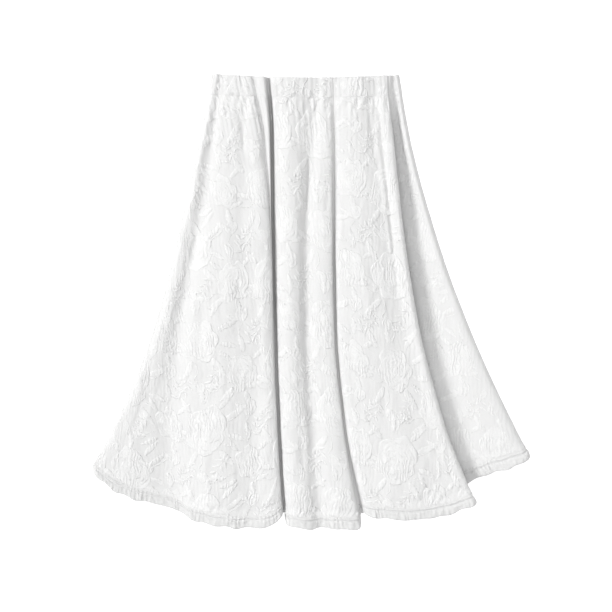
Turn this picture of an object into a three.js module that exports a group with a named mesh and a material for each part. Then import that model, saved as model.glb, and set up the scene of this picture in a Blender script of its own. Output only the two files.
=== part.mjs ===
// A flared, pull-on lace skirt laid flat with its front up.
// X runs across it, +Y towards the waist, +Z up from the table; the origin is under the middle of its box.
//
// The skirt is one tube of cloth. Its shape is set by fold lines that fan down from the waist to the hem:
// crests, valleys and turned edges. Across the skirt, a smooth curve runs through every line in turn, round
// the front from the left side seam to the right one, then back underneath. Each piece is a wall round its
// own stretch of that surface.
import * as THREE from "three";

// ---- driving sizes, mm ----
const LENGTH = 703.7;          // top edge to the lowest point of the hem, laid flat
const WALL = 1.6;              // panel cloth with its raised lace
const CASING_WALL = 2.0;       // doubled cloth over the hidden elastic
const HEM_WALL = 2.4;          // turned and faced hem
const CASING = 32;             // height of the waist casing
const HEM_BAND = 18;           // height of the hem band
const SEAM_GAP = 0.3;          // between pieces at a seam
const WAIST_SAG = 5;           // the middle of the top edge lies this far below its ends
const WAIST_HALF = 146;        // half the waist's flat width
const GATHERS = 19;            // gathers across the front of the casing
const GATHER_DEPTH = 0.7;      // how far each stands out
const ROLL_REACH = 220;        // a turned edge reaches its full roundness this far down
const PLEAT_ROLL = 1.8;        // radius of the back pleats' folded edges
const OPENED = 2;              // where a turned edge has opened out flat, its three lines are this far apart
const PANEL_ROWS = 9;          // facets from waist to hem

// Distances down from the top edge at which the tables give x, and z. The last column of each is at the hem.
const X_AT = [0, 86.8, 241.8, 396.8, 551.8];
const Z_AT = [0, 86.8, 396.8];

// One row per fold line. turn: "" for a line the cloth runs straight over, "dip" for the rounded bottom of a
// narrow cleft, or the side that a turned edge points to and whether the cloth climbs or drops as it turns.
// r0, r1: the turned edge's radius at the waist and further down; with r0 of 0 it opens out at the waist.
// over: how much longer the hem is on the upper side of a turned edge.
const COLUMNS = ["line", "turn", "r0", "r1", "over", "x0", "x87", "x242", "x397", "x552", "xHem", "z0", "z87", "z397", "zHem", "hem"];
const FRONT_LINES = [
  ["left seam",           "",             0,   0,   0, -144.2, -159.7, -193.0, -233.3, -295.3, -326.3,  1.6,  1.8,  2.0,  2.0, 621.6],
  ["left side",           "left up",    4.0, 6.0,  15, -154.2, -170.3, -204.4, -244.7, -308.3, -339.3,  6.2,  8.2,  9.0,  7.5, 608.4],
  ["A0 crest",            "",             0,   0,   0, -145.2, -162.8, -189.9, -225.5, -273.6, -289.1, 12.0, 14.0, 17.5, 14.0, 654.1],
  ["A0 A1 valley",        "",             0,   0,   0, -138.7, -153.8, -176.7, -205.4, -218.6, -207.7,  9.6, 11.0, 13.5, 11.0, 676.6],
  ["A1 rise",             "",             0,   0,   0, -131.0, -142.6, -160.4, -182.1, -189.9, -183.7, 12.5, 17.0, 21.5, 18.5, 690.5],
  ["A1 crest",            "",             0,   0,   0, -118.6, -124.8, -134.1, -138.7, -140.3, -138.7, 13.6, 20.0, 27.0, 24.5, 700.3],
  ["A1 trough",           "",             0,   0,   0, -106.2, -106.2, -103.1,  -84.5,  -86.0,  -95.3, 12.6, 18.0, 24.5, 22.5, 702.1],
  ["A2 crest",            "",             0,   0,   0, -100.8,  -88.4,  -76.0,  -71.3,  -67.1,  -62.8, 13.4, 21.0, 26.0, 24.5, 699.1],
  ["A edge",              "",             0,   0,   0,  -96.1,  -80.6,  -65.6,  -60.6,  -55.0,  -47.0, 12.0, 17.5, 19.5, 19.0, 686.6],
  ["A tuck valley",       "",             0,   0,   0,  -90.7,  -76.1,  -63.7,  -59.4,  -53.8,  -45.7, 10.2, 15.0, 15.5, 15.0, 678.9],
  ["A tuck crest",        "",             0,   0,   0,  -82.9,  -71.1,  -62.8,  -58.7,  -53.2,  -45.1, 12.0, 14.0, 12.4, 12.0, 675.8],
  ["A B cleft",           "dip",        2.2, 1.9,   0,  -69.0,  -63.1,  -60.3,  -56.3,  -50.7,  -42.6,  5.4,  5.0,  7.8,  7.8, 677.4],
  ["B1 wall",             "",             0,   0,   0,  -60.5,  -55.8,  -55.3,  -53.5,  -47.9,  -39.8,  9.4, 10.5, 13.0, 13.0, 686.6],
  ["B1 edge",             "",             0,   0,   0,  -54.2,  -48.1,  -48.8,  -49.8,  -44.8,  -36.7, 12.8, 18.0, 20.5, 20.0, 697.5],
  ["B1 crest",            "",             0,   0,   0,  -42.6,  -37.2,  -35.6,  -34.9,  -29.4,  -19.4, 14.2, 22.0, 26.0, 25.5, 703.7],
  ["B1 fall",             "",             0,   0,   0,  -17.8,  -20.9,  -21.7,  -19.4,  -11.6,   -2.3, 13.6, 20.5, 24.0, 24.0, 704.0],
  ["B1 B2 valley",        "",             0,   0,   0,    9.3,    2.3,   -9.3,   -8.5,    1.6,   14.0, 10.6, 14.0, 17.5, 18.5, 703.7],
  ["B2 crest",            "",             0,   0,   0,   17.8,   17.1,   10.1,   11.6,   24.0,   44.2, 12.2, 18.0, 22.0, 22.5, 704.0],
  ["B2 edge",             "",             0,   0,   0,   27.1,   29.9,   29.9,   32.4,   47.0,   73.3, 11.6, 16.8, 20.5, 20.5, 703.7],
  ["B2 wall",             "",             0,   0,   0,   30.2,   32.4,   32.4,   35.0,   49.8,   76.4, 11.6, 14.0, 14.5, 14.5, 699.1],
  ["B C cleft",           "dip",        1.5, 1.9,   0,   33.6,   34.9,   34.9,   37.5,   52.2,   78.9, 10.7, 11.4,  7.8,  7.8, 682.0],
  ["C wall",              "",             0,   0,   0,   37.4,   37.4,   37.4,   40.0,   54.7,   81.4, 11.7, 15.2, 15.5, 15.5, 681.1],
  ["C left edge",         "",             0,   0,   0,   40.8,   40.1,   40.1,   42.9,   57.8,   84.8, 12.2, 19.0, 24.0, 24.5, 683.6],
  ["C crest",             "",             0,   0,   0,   53.5,   51.9,   56.6,   65.9,   84.5,  112.4, 14.0, 23.0, 29.0, 29.5, 687.4],
  ["C plateau",           "",             0,   0,   0,   75.2,   78.3,   90.7,  106.2,  131.0,  155.8, 14.2, 23.6, 30.0, 30.5, 689.4],
  ["C C2 valley",         "",             0,   0,   0,   96.9,  101.5,  122.5,  141.1,  186.8,  203.8, 10.8, 19.0, 26.0, 28.0, 682.0],
  ["C2 crest",            "",             0,   0,   0,  106.2,  113.2,  132.5,  153.5,  196.1,  227.1, 12.4, 21.2, 28.0, 28.0, 676.6],
  ["C right edge",        "right down",   0, 4.2,   4,  114.5,  124.8,  141.8,  166.6,  208.5,  253.4, 10.8, 17.2, 22.5, 23.0, 663.4],
  ["under C",             "left down",    0, 2.6,   0,  120.7,  117.8,  123.2,  140.3,  179.0,  222.4, 10.0, 10.6, 12.6, 12.6, 643.2],
  ["D base",              "",             0,   0,   0,  125.2,  130.0,  147.2,  172.8,  214.7,  247.2,  9.8,  9.6, 10.0,  9.6, 631.6],
  ["D rise",              "",             0,   0,   0,  127.7,  136.6,  163.5,  196.1,  244.1,  279.8, 10.4, 15.0, 20.5, 18.0, 619.2],
  ["D crest",             "",             0,   0,   0,  130.0,  141.2,  174.4,  213.1,  268.9,  307.7, 10.8, 16.6, 22.5, 18.0, 610.7],
  ["right side",          "right down", 4.0, 6.0,   6,  135.6,  150.2,  190.5,  246.3,  317.6,  339.6,  6.2,  8.2,  9.0,  7.5, 592.9],
  ["right seam",          "",             0,   0,   0,  125.5,  139.5,  179.8,  235.6,  306.1,  326.3,  1.6,  1.8,  2.0,  2.0, 601.4],
];

// The back lies flat but for three pleats, each folded over on itself and deeper towards the hem. x is a flat
// line's place, or a pleat's outer folded edge, which points to -X. depth is how far the cloth doubles back
// from there; below 0 it has opened out into a low ridge, as it does towards the waist.
const BACK_COLUMNS = ["line", "pleat", "x0", "x87", "x242", "x397", "x552", "xHem", "p0", "p87", "p242", "p397", "p552", "pHem", "hem"];
const BACK_LINES = [
  ["back right",        false,   115.5,  127.9,  166.6,  222.4,  292.2,  309.2,   0,   0,   0,   0,   0,   0, 603.0],
  ["pleat 3 start",     false,   100.0,  104.6,  124.8,  148.0,  172.8,  188.3,   0,   0,   0,   0,   0,   0, 657.2],
  ["pleat 3",           true,     79.8,   84.5,   92.2,  103.1,  115.5,  124.8,  -8,  -4,  10,  22,  33,  40, 668.1],
  ["back middle right", false,    36.4,   38.0,   39.5,   44.2,   59.7,   69.0,   0,   0,   0,   0,   0,   0, 674.2],
  ["pleat 2 start",     false,     7.0,    8.5,   13.2,   16.3,   28.7,   41.1,   0,   0,   0,   0,   0,   0, 682.0],
  ["pleat 2",           true,    -16.3,  -16.3,  -20.9,  -25.6,  -24.0,  -19.4,  -8,  -3,  12,  22,  31,  38, 682.0],
  ["back middle left",  false,   -55.0,  -58.1,  -59.7,  -62.8,  -64.3,  -61.2,   0,   0,   0,   0,   0,   0, 683.6],
  ["pleat 1 start",     false,   -79.8,  -82.9,  -92.2,  -95.3,  -95.3,  -92.2,   0,   0,   0,   0,   0,   0, 680.5],
  ["pleat 1",           true,   -100.0, -104.6, -121.7, -135.6, -149.6, -157.3,  -8,  -4,  11,  22,  34,  42, 674.2],
  ["back left",         false,  -134.1, -148.0, -179.0, -216.2, -275.1, -306.1,   0,   0,   0,   0,   0,   0, 635.5],
];

// ---- curves down a fold line ----
// Smooth interpolation that never overshoots its values.
function smooth(at, values) {
  const n = at.length, step = [], slope = [];
  for (let i = 0; i < n - 1; i++) step.push((values[i + 1] - values[i]) / (at[i + 1] - at[i]));
  for (let i = 0; i < n; i++) {
    if (i === 0) slope.push(step[0]);
    else if (i === n - 1) slope.push(step[n - 2]);
    else if (step[i - 1] * step[i] <= 0) slope.push(0);
    else {
      const a = at[i] - at[i - 1], b = at[i + 1] - at[i], w1 = 2 * b + a, w2 = b + 2 * a;
      slope.push((w1 + w2) / (w1 / step[i - 1] + w2 / step[i]));
    }
  }
  return (d) => {
    let i = 0;
    while (i < n - 2 && d > at[i + 1]) i++;
    const h = at[i + 1] - at[i], t = Math.min(1, Math.max(0, (d - at[i]) / h)), u = 1 - t;
    return values[i] * (1 + 2 * t) * u * u + slope[i] * h * t * u * u
      + values[i + 1] * t * t * (3 - 2 * t) - slope[i + 1] * h * t * t * u;
  };
}

const named = (columns, row) => Object.fromEntries(columns.map((name, i) => [name, row[i]]));
const clamp = (v, low, high) => Math.min(high, Math.max(low, v));
const ease = (t) => 1 - (1 - clamp(t, 0, 1)) ** 2;

// A front row becomes one control line, or three round a turned edge: where it starts, its tip and its end.
function frontLines(row) {
  const r = named(COLUMNS, row);
  const x = smooth([...X_AT, r.hem], [r.x0, r.x87, r.x242, r.x397, r.x552, r.xHem]);
  const z = smooth([...Z_AT, r.hem], [r.z0, r.z87, r.z397, r.zHem]);
  if (!r.turn) return [{ x, z, hem: r.hem, flat: false }];
  const radius = (d) => r.r0 + (r.r1 - r.r0) * ease(d / ROLL_REACH);
  const opened = (d) => (r.r0 ? 0 : OPENED * (1 - ease(d / ROLL_REACH)));
  const inwards = r.turn.startsWith("left") ? 1 : -1, climb = r.turn.endsWith("up") ? 1 : -1;
  return [-1, 0, 1].map((place) => {
    const dx = (d) => (r.turn === "dip" ? place * radius(d) : Math.abs(place) * inwards * radius(d) + place * opened(d));
    const dz = (d) => (r.turn === "dip" ? Math.abs(place) * 0.6 : place * climb) * radius(d);
    return { x: (d) => x(d) + dx(d), z: (d) => z(d) + dz(d), hem: r.hem + (place === climb ? r.over : 0), flat: false };
  });
}

// A back row becomes one flat line, or the eight of a pleat: round its outer edge, round its inner edge above
// that, then down to the table again.
function backLines(row) {
  const r = named(BACK_COLUMNS, row), at = [...X_AT, r.hem];
  const x = smooth(at, [r.x0, r.x87, r.x242, r.x397, r.x552, r.xHem]);
  const flat = WALL / 2;
  if (!r.pleat) return [{ x, z: () => flat, hem: r.hem, flat: true }];
  const depth = smooth(at, [r.p0, r.p87, r.p242, r.p397, r.p552, r.pHem]);
  const turn = (d) => clamp(depth(d) / 3, -3, PLEAT_ROLL);        // below 0 while the pleat is open
  const rise = (d) => PLEAT_ROLL * ease((d - CASING) / 180);
  const apart = (d) => 1 - clamp((depth(d) - 2 * turn(d)) / 3, 0, 1);
  const line = (dx, dz) => ({ x: (d) => x(d) + dx(d), z: (d) => flat + dz(d), hem: r.hem, flat: false });
  const left = (d) => Math.min(0, depth(d) - 2.5);
  return [
    line(() => 2.5, () => 0),
    line(() => 0, rise),
    line(turn, (d) => 2 * rise(d)),
    line((d) => depth(d) - turn(d), (d) => rise(d) * (2 + 0.6 * apart(d))),
    line(depth, (d) => rise(d) * (3 + 0.5 * apart(d))),
    line((d) => depth(d) - 2.5, (d) => 4 * rise(d)),
    line((d) => left(d) - 4, (d) => 3 * rise(d)),
    { ...line((d) => left(d) - 15, () => 0), flat: true },
  ];
}

const front = FRONT_LINES.flatMap(frontLines);
const back = BACK_LINES.flatMap(backLines);
const LOOP = [...front, ...back];                              // all the way round
const RING = [...front, ...back.filter((line) => line.flat)];  // round the waist, above the back's pleats
const SIDE = front.length - 1;                                 // the right side seam's place in both

// Where the hem climbs steeply from line to line, the gap along a line is longer, so that it stays open.
LOOP.forEach((line, i) => {
  const slants = [LOOP.at(i - 1), LOOP[(i + 1) % LOOP.length]].map((other) => {
    const apart = Math.hypot(other.x(other.hem) - line.x(line.hem), other.z(other.hem) - line.z(line.hem));
    return Math.hypot(other.hem - line.hem, apart) / Math.max(apart, 0.5);
  });
  line.slant = clamp(Math.max(...slants), 1, 4);
});

const topEdge = (line) => {
  const t = Math.min(1, Math.abs(line.x(0)) / WAIST_HALF);
  return WAIST_SAG * (1 - t * t);
};

// ---- the surface ----
// The point at place u round a loop of lines, where reach(line) says how far down each line is. It never
// goes lower than half the wall above the table.
function point(u, reach, loop) {
  const n = loop.length, k = Math.floor(u), f = u - k;
  const p = [-1, 0, 1, 2].map((o) => {
    const line = loop[(((k + o) % n) + n) % n], d = reach(line);
    return new THREE.Vector3(line.x(d), LENGTH / 2 - d, line.z(d));
  });
  const gap = (a, b) => Math.sqrt(Math.max(0.05, a.distanceTo(b)));
  const t0 = 0, t1 = gap(p[0], p[1]), t2 = t1 + gap(p[1], p[2]), t3 = t2 + gap(p[2], p[3]);
  const t = t1 + (t2 - t1) * f;
  const mix = (a, b, ta, tb) => a.clone().multiplyScalar((tb - t) / (tb - ta)).addScaledVector(b, (t - ta) / (tb - ta));
  const a1 = mix(p[0], p[1], t0, t1), a2 = mix(p[1], p[2], t1, t2), a3 = mix(p[2], p[3], t2, t3);
  const at = mix(mix(a1, a2, t0, t2), mix(a2, a3, t1, t3), t1, t2);
  at.z = Math.max(at.z, WALL / 2);
  return at;
}

function pointAndNormal(u, reachAt, s, loop) {
  const e = 0.04, h = 0.004;
  const across = point(u + e, reachAt(s), loop).sub(point(u - e, reachAt(s), loop));
  const down = point(u, reachAt(s + h), loop).sub(point(u, reachAt(s - h), loop));
  return { at: point(u, reachAt(s), loop), out: down.cross(across).normalize() };
}

// Places round the loop from one line to another, closer together where lines are far apart.
function places(from, to, loop = LOOP) {
  const list = [];
  for (let k = from; k < to; k++) {
    const a = loop[k % loop.length], b = loop[(k + 1) % loop.length];
    const d = 0.8 * Math.min(a.hem, b.hem);
    const apart = Math.hypot(b.x(d) - a.x(d), b.z(d) - a.z(d));
    const parts = apart < 7 ? 1 : apart < 28 ? 2 : 3;
    for (let i = 0; i < parts; i++) list.push(k + i / parts);
  }
  list.push(to);
  return list;
}

// Draw both ends of a stretch in by half the seam gap.
function drawnIn(list) {
  const reach = (line) => 0.6 * line.hem;
  const a = list[0], b = list[list.length - 1];
  const speed = (u, w) => point(u, reach, LOOP).distanceTo(point(u + w, reach, LOOP)) / Math.abs(w);
  const out = list.slice();
  out[0] = a + SEAM_GAP / 2 / speed(a, 0.02);
  out[out.length - 1] = b - SEAM_GAP / 2 / speed(b, -0.02);
  return out;
}

// ---- pieces ----
// rows: how far down the piece each row is, 0 to 1, and how thick the wall is there, outside and inside its
// middle. ripple moves the wall in or out.
function wall(name, colour, us, loop, start, end, rows, ripple = () => 0) {
  const closed = loop === RING;
  const reachAt = (s) => (line) => start(line) + s * (end(line) - start(line));
  const n = us.length, position = [], index = [];
  for (const side of ["outside", "inside"]) {
    for (const row of rows) {
      us.forEach((u, j) => {
        const { at, out } = pointAndNormal(u, reachAt, row.s, loop);
        const off = (side === "outside" ? row.outside : -row.inside) + ripple(u, row.s);
        at.addScaledVector(out, off);
        if (at.z < 0.3) at.z = 0;                       // flat where it rests
        position.push(at.x, at.y, at.z);
      });
    }
  }
  const o = (i, j) => i * n + (j % n), q = (i, j) => rows.length * n + o(i, j);
  const quad = (a, b, c, d) => index.push(a, b, c, a, c, d);
  const last = rows.length - 1, columns = closed ? n : n - 1;
  for (let j = 0; j < columns; j++) {
    for (let i = 0; i < last; i++) {
      quad(o(i, j), o(i + 1, j), o(i + 1, j + 1), o(i, j + 1));
      quad(q(i, j), q(i, j + 1), q(i + 1, j + 1), q(i + 1, j));
    }
    quad(o(0, j), o(0, j + 1), q(0, j + 1), q(0, j));
    quad(o(last, j), q(last, j), q(last, j + 1), o(last, j + 1));
  }
  if (!closed) {
    for (let i = 0; i < last; i++) {
      quad(o(i, 0), q(i, 0), q(i + 1, 0), o(i + 1, 0));
      quad(o(i, n - 1), o(i + 1, n - 1), q(i + 1, n - 1), q(i, n - 1));
    }
  }
  const geometry = new THREE.BufferGeometry();
  geometry.setAttribute("position", new THREE.Float32BufferAttribute(position, 3));
  geometry.setIndex(index);
  geometry.computeVertexNormals();
  const material = new THREE.MeshStandardMaterial({ color: colour, roughness: 0.85, metalness: 0, side: THREE.DoubleSide });
  const mesh = new THREE.Mesh(geometry, material);
  mesh.name = name;
  return mesh;
}

const evenRows = (count, half) => Array.from({ length: count + 1 }, (_, i) => ({ s: i / count, outside: half, inside: half }));
const casingFoot = (line) => topEdge(line) + CASING;
const hemSeam = (line) => line.hem - HEM_BAND;
const panelTop = (line) => casingFoot(line) + SEAM_GAP / 2;
const panelFoot = (line) => hemSeam(line) - SEAM_GAP / 2 * line.slant;
const bandTop = (line) => hemSeam(line) + SEAM_GAP / 2 * line.slant;
const bandFoot = (line) => line.hem;

const frontPlaces = drawnIn(places(0, SIDE));
const backPlaces = drawnIn(places(SIDE, LOOP.length));
const ringPlaces = places(0, RING.length, RING).slice(0, -1);
const gathers = (u, s) => (u > 3 && u < SIDE - 3
  ? GATHER_DEPTH * Math.sin((u - 3) / (SIDE - 6) * GATHERS * 2 * Math.PI) * Math.sin(Math.PI * Math.min(1, 0.2 + s)) : 0);

// The hem band starts with a small raised ridge and thins to its fold.
const hemRows = [
  { s: 0, outside: HEM_WALL / 2, inside: WALL / 2 },
  { s: 0.6, outside: HEM_WALL / 2, inside: WALL / 2 },
  { s: 1, outside: WALL / 2, inside: WALL / 2 },
];

const skirt = new THREE.Group();
skirt.add(
  wall("front_panel", 0xf4f4f2, frontPlaces, LOOP, panelTop, panelFoot, evenRows(PANEL_ROWS, WALL / 2)),
  wall("back_panel", 0xf1f1ef, backPlaces, LOOP, panelTop, panelFoot, evenRows(PANEL_ROWS, WALL / 2)),
  wall("waist_casing", 0xf6f6f4, ringPlaces, RING, topEdge, (line) => casingFoot(line) - SEAM_GAP / 2,
    evenRows(2, CASING_WALL / 2), gathers),
  wall("hem_front", 0xf6f6f4, frontPlaces, LOOP, bandTop, bandFoot, hemRows),
  wall("hem_back", 0xf3f3f1, backPlaces, LOOP, bandTop, bandFoot, hemRows),
);

export default skirt;
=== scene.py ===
# A white lace skirt laid flat with its front up: fine cloth, raised lace, gathered waist and hem.
# Lengths here are in millimetres until a mesh is made. Across and down are cloth directions: d is measured
# down from the top edge, and X, Y and Z are the frame's own.
import math

import bpy
import numpy as np
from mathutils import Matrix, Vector


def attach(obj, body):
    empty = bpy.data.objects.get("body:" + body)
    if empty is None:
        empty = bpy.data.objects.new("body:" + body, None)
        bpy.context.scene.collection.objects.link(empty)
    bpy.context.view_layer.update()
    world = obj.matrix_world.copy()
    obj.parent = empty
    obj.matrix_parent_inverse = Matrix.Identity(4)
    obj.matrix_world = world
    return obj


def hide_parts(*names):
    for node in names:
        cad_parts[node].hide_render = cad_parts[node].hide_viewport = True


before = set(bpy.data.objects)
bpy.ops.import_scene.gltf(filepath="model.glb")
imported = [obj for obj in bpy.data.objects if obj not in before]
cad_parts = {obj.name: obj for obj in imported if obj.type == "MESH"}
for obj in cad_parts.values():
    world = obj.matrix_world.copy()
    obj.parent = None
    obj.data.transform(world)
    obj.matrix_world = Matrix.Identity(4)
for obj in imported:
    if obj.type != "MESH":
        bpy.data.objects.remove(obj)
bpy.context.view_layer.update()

# ---- camera: straight above, with the picture's middle a little left of and below the skirt's ----
VIEW_X, VIEW_Y, VIEW_WIDTH = -8.5, -7.75, 948.6      # mm that the picture's frame spans
CAMERA_UP = 2600.0
camera_data = bpy.data.cameras.new("camera")
camera_data.sensor_width = 36.0
camera_data.lens = 18.0 / (VIEW_WIDTH / 2 / (CAMERA_UP - 12.0))
camera_data.clip_end = 50.0
camera = bpy.data.objects.new("camera", camera_data)
camera.location = (VIEW_X / 1000, VIEW_Y / 1000, CAMERA_UP / 1000)
bpy.context.scene.collection.objects.link(camera)
bpy.context.scene.camera = camera

# ---- sizes ----
LENGTH = 703.7
WALL = 1.6                     # the solids' wall, whose middle the fine cloth follows
CASING = 32.0
HEM_BAND = 18.0
SEAM_GAP = 0.3
WAIST_SAG = 5.0
WAIST_HALF = 146.0
ROLL_REACH = 220.0
PLEAT_ROLL = 1.8
OPENED = 2.0
GROUND_OUT, GROUND_IN = 0.35, 0.70
X_AT = [0, 86.8, 241.8, 396.8, 551.8]
Z_AT = [0, 86.8, 396.8]

COLUMNS = ["line", "turn", "r0", "r1", "over", "x0", "x87", "x242", "x397", "x552", "xHem", "z0", "z87", "z397", "zHem", "hem"]
FRONT_LINES = [
    ["left seam",           "",             0,   0,   0, -144.2, -159.7, -193.0, -233.3, -295.3, -326.3,  1.6,  1.8,  2.0,  2.0, 621.6],
    ["left side",           "left up",    4.0, 6.0,  15, -154.2, -170.3, -204.4, -244.7, -308.3, -339.3,  6.2,  8.2,  9.0,  7.5, 608.4],
    ["A0 crest",            "",             0,   0,   0, -145.2, -162.8, -189.9, -225.5, -273.6, -289.1, 12.0, 14.0, 17.5, 14.0, 654.1],
    ["A0 A1 valley",        "",             0,   0,   0, -138.7, -153.8, -176.7, -205.4, -218.6, -207.7,  9.6, 11.0, 13.5, 11.0, 676.6],
    ["A1 rise",             "",             0,   0,   0, -131.0, -142.6, -160.4, -182.1, -189.9, -183.7, 12.5, 17.0, 21.5, 18.5, 690.5],
    ["A1 crest",            "",             0,   0,   0, -118.6, -124.8, -134.1, -138.7, -140.3, -138.7, 13.6, 20.0, 27.0, 24.5, 700.3],
    ["A1 trough",           "",             0,   0,   0, -106.2, -106.2, -103.1,  -84.5,  -86.0,  -95.3, 12.6, 18.0, 24.5, 22.5, 702.1],
    ["A2 crest",            "",             0,   0,   0, -100.8,  -88.4,  -76.0,  -71.3,  -67.1,  -62.8, 13.4, 21.0, 26.0, 24.5, 699.1],
    ["A edge",              "",             0,   0,   0,  -96.1,  -80.6,  -65.6,  -60.6,  -55.0,  -47.0, 12.0, 18.2, 22.4, 21.6, 686.6],
    ["A tuck valley",       "",             0,   0,   0,  -90.7,  -76.1,  -63.7,  -59.4,  -53.8,  -45.7, 10.6, 14.0, 15.0, 15.0, 678.9],
    ["A tuck crest",        "",             0,   0,   0,  -74.6,  -66.6,  -62.6,  -58.7,  -53.2,  -45.1, 14.6, 18.0, 16.0, 14.0, 675.8],
    ["A B cleft",           "dip",        2.2, 1.9,   0,  -68.4,  -61.8,  -60.1,  -56.3,  -50.7,  -42.6,  2.4,  1.9,  4.8,  6.4, 677.4],
    ["B1 wall",             "",             0,   0,   0,  -62.6,  -57.4,  -56.4,  -53.5,  -47.9,  -39.8, 11.4, 13.6, 12.6, 11.8, 686.6],
    ["B1 edge",             "",             0,   0,   0,  -54.2,  -48.1,  -48.8,  -49.8,  -44.8,  -36.7, 12.8, 18.0, 20.5, 20.0, 697.5],
    ["B1 crest",            "",             0,   0,   0,  -42.6,  -37.2,  -35.6,  -34.9,  -29.4,  -19.4, 14.2, 22.0, 26.0, 25.5, 703.7],
    ["B1 fall",             "",             0,   0,   0,  -17.8,  -20.9,  -21.7,  -19.4,  -11.6,   -2.3, 13.6, 20.5, 24.0, 24.0, 704.0],
    ["B1 B2 valley",        "",             0,   0,   0,    9.3,    2.3,   -9.3,   -8.5,    1.6,   14.0, 10.6, 14.0, 17.5, 18.5, 703.7],
    ["B2 crest",            "",             0,   0,   0,   17.8,   17.1,   10.1,   11.6,   24.0,   44.2, 12.2, 18.0, 22.0, 22.5, 704.0],
    ["B2 edge",             "",             0,   0,   0,   27.1,   29.9,   29.9,   32.4,   47.0,   73.3, 11.6, 16.8, 20.5, 20.5, 703.7],
    ["B2 wall",             "",             0,   0,   0,   30.2,   32.4,   32.4,   35.0,   49.8,   76.4, 11.6, 14.0, 14.5, 14.5, 699.1],
    ["B C cleft",           "dip",        1.5, 1.9,   0,   33.6,   34.9,   34.9,   37.5,   52.2,   78.9, 11.0, 12.6, 11.4, 10.6, 682.0],
    ["C wall",              "",             0,   0,   0,   37.4,   37.4,   37.4,   40.0,   54.7,   81.4, 11.7, 15.2, 15.5, 15.5, 681.1],
    ["C left edge",         "",             0,   0,   0,   40.8,   40.1,   40.1,   42.9,   57.8,   84.8, 12.2, 19.0, 24.0, 24.5, 683.6],
    ["C crest",             "",             0,   0,   0,   53.5,   51.9,   56.6,   65.9,   84.5,  112.4, 14.0, 23.0, 29.0, 29.5, 687.4],
    ["C plateau",           "",             0,   0,   0,   75.2,   78.3,   90.7,  106.2,  131.0,  155.8, 14.2, 23.6, 30.0, 30.5, 689.4],
    ["C C2 valley",         "",             0,   0,   0,   96.9,  101.5,  122.5,  141.1,  186.8,  203.8, 10.8, 19.0, 26.0, 28.0, 682.0],
    ["C2 crest",            "",             0,   0,   0,  106.2,  113.2,  132.5,  153.5,  196.1,  227.1, 12.4, 21.2, 28.0, 28.0, 676.6],
    ["C right edge",        "right down",   0, 4.2,   4,  114.5,  124.8,  141.8,  166.6,  208.5,  253.4, 11.6, 18.8, 24.0, 24.0, 663.4],
    ["under C",             "left down",    0, 2.6,   0,  120.7,  117.8,  123.2,  140.3,  179.0,  222.4, 10.0, 10.6, 12.6, 12.6, 643.2],
    ["D base",              "",             0,   0,   0,  125.2,  130.0,  147.2,  172.8,  214.7,  247.2,  6.2,  5.8,  6.2,  7.0, 631.6],
    ["D rise",              "",             0,   0,   0,  127.7,  137.6,  166.5,  196.1,  244.1,  279.8,  6.8,  6.8,  7.6,  9.2, 619.2],
    ["D crest",             "",             0,   0,   0,  130.3,  141.2,  176.0,  213.1,  268.9,  307.7, 10.0, 11.2, 11.6, 13.0, 610.7],
    ["right side",          "right down", 4.0, 6.0,   6,  135.6,  150.2,  190.5,  246.3,  317.6,  339.6,  6.2,  8.2,  9.0,  7.5, 592.9],
    ["right seam",          "",             0,   0,   0,  125.5,  139.5,  179.8,  235.6,  306.1,  326.3,  1.6,  1.8,  2.0,  2.0, 601.4],
]
BACK_COLUMNS = ["line", "pleat", "x0", "x87", "x242", "x397", "x552", "xHem", "p0", "p87", "p242", "p397", "p552", "pHem", "hem"]
BACK_LINES = [
    ["back right",        False,   115.5,  127.9,  166.6,  222.4,  292.2,  309.2,   0,   0,   0,   0,   0,   0, 603.0],
    ["pleat 3 start",     False,   100.0,  104.6,  124.8,  148.0,  172.8,  188.3,   0,   0,   0,   0,   0,   0, 657.2],
    ["pleat 3",           True,     79.8,   84.5,   92.2,  103.1,  115.5,  124.8,  -8,  -4,  10,  22,  33,  40, 668.1],
    ["back middle right", False,    36.4,   38.0,   39.5,   44.2,   59.7,   69.0,   0,   0,   0,   0,   0,   0, 674.2],
    ["pleat 2 start",     False,     7.0,    8.5,   13.2,   16.3,   28.7,   41.1,   0,   0,   0,   0,   0,   0, 682.0],
    ["pleat 2",           True,    -16.3,  -16.3,  -20.9,  -25.6,  -24.0,  -19.4,  -8,  -3,  12,  22,  31,  38, 682.0],
    ["back middle left",  False,   -55.0,  -58.1,  -59.7,  -62.8,  -64.3,  -61.2,   0,   0,   0,   0,   0,   0, 683.6],
    ["pleat 1 start",     False,   -79.8,  -82.9,  -92.2,  -95.3,  -95.3,  -92.2,   0,   0,   0,   0,   0,   0, 680.5],
    ["pleat 1",           True,   -100.0, -104.6, -121.7, -135.6, -149.6, -157.3,  -8,  -4,  11,  22,  34,  42, 674.2],
    ["back left",         False,  -134.1, -148.0, -179.0, -216.2, -275.1, -306.1,   0,   0,   0,   0,   0,   0, 635.5],
]


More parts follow.
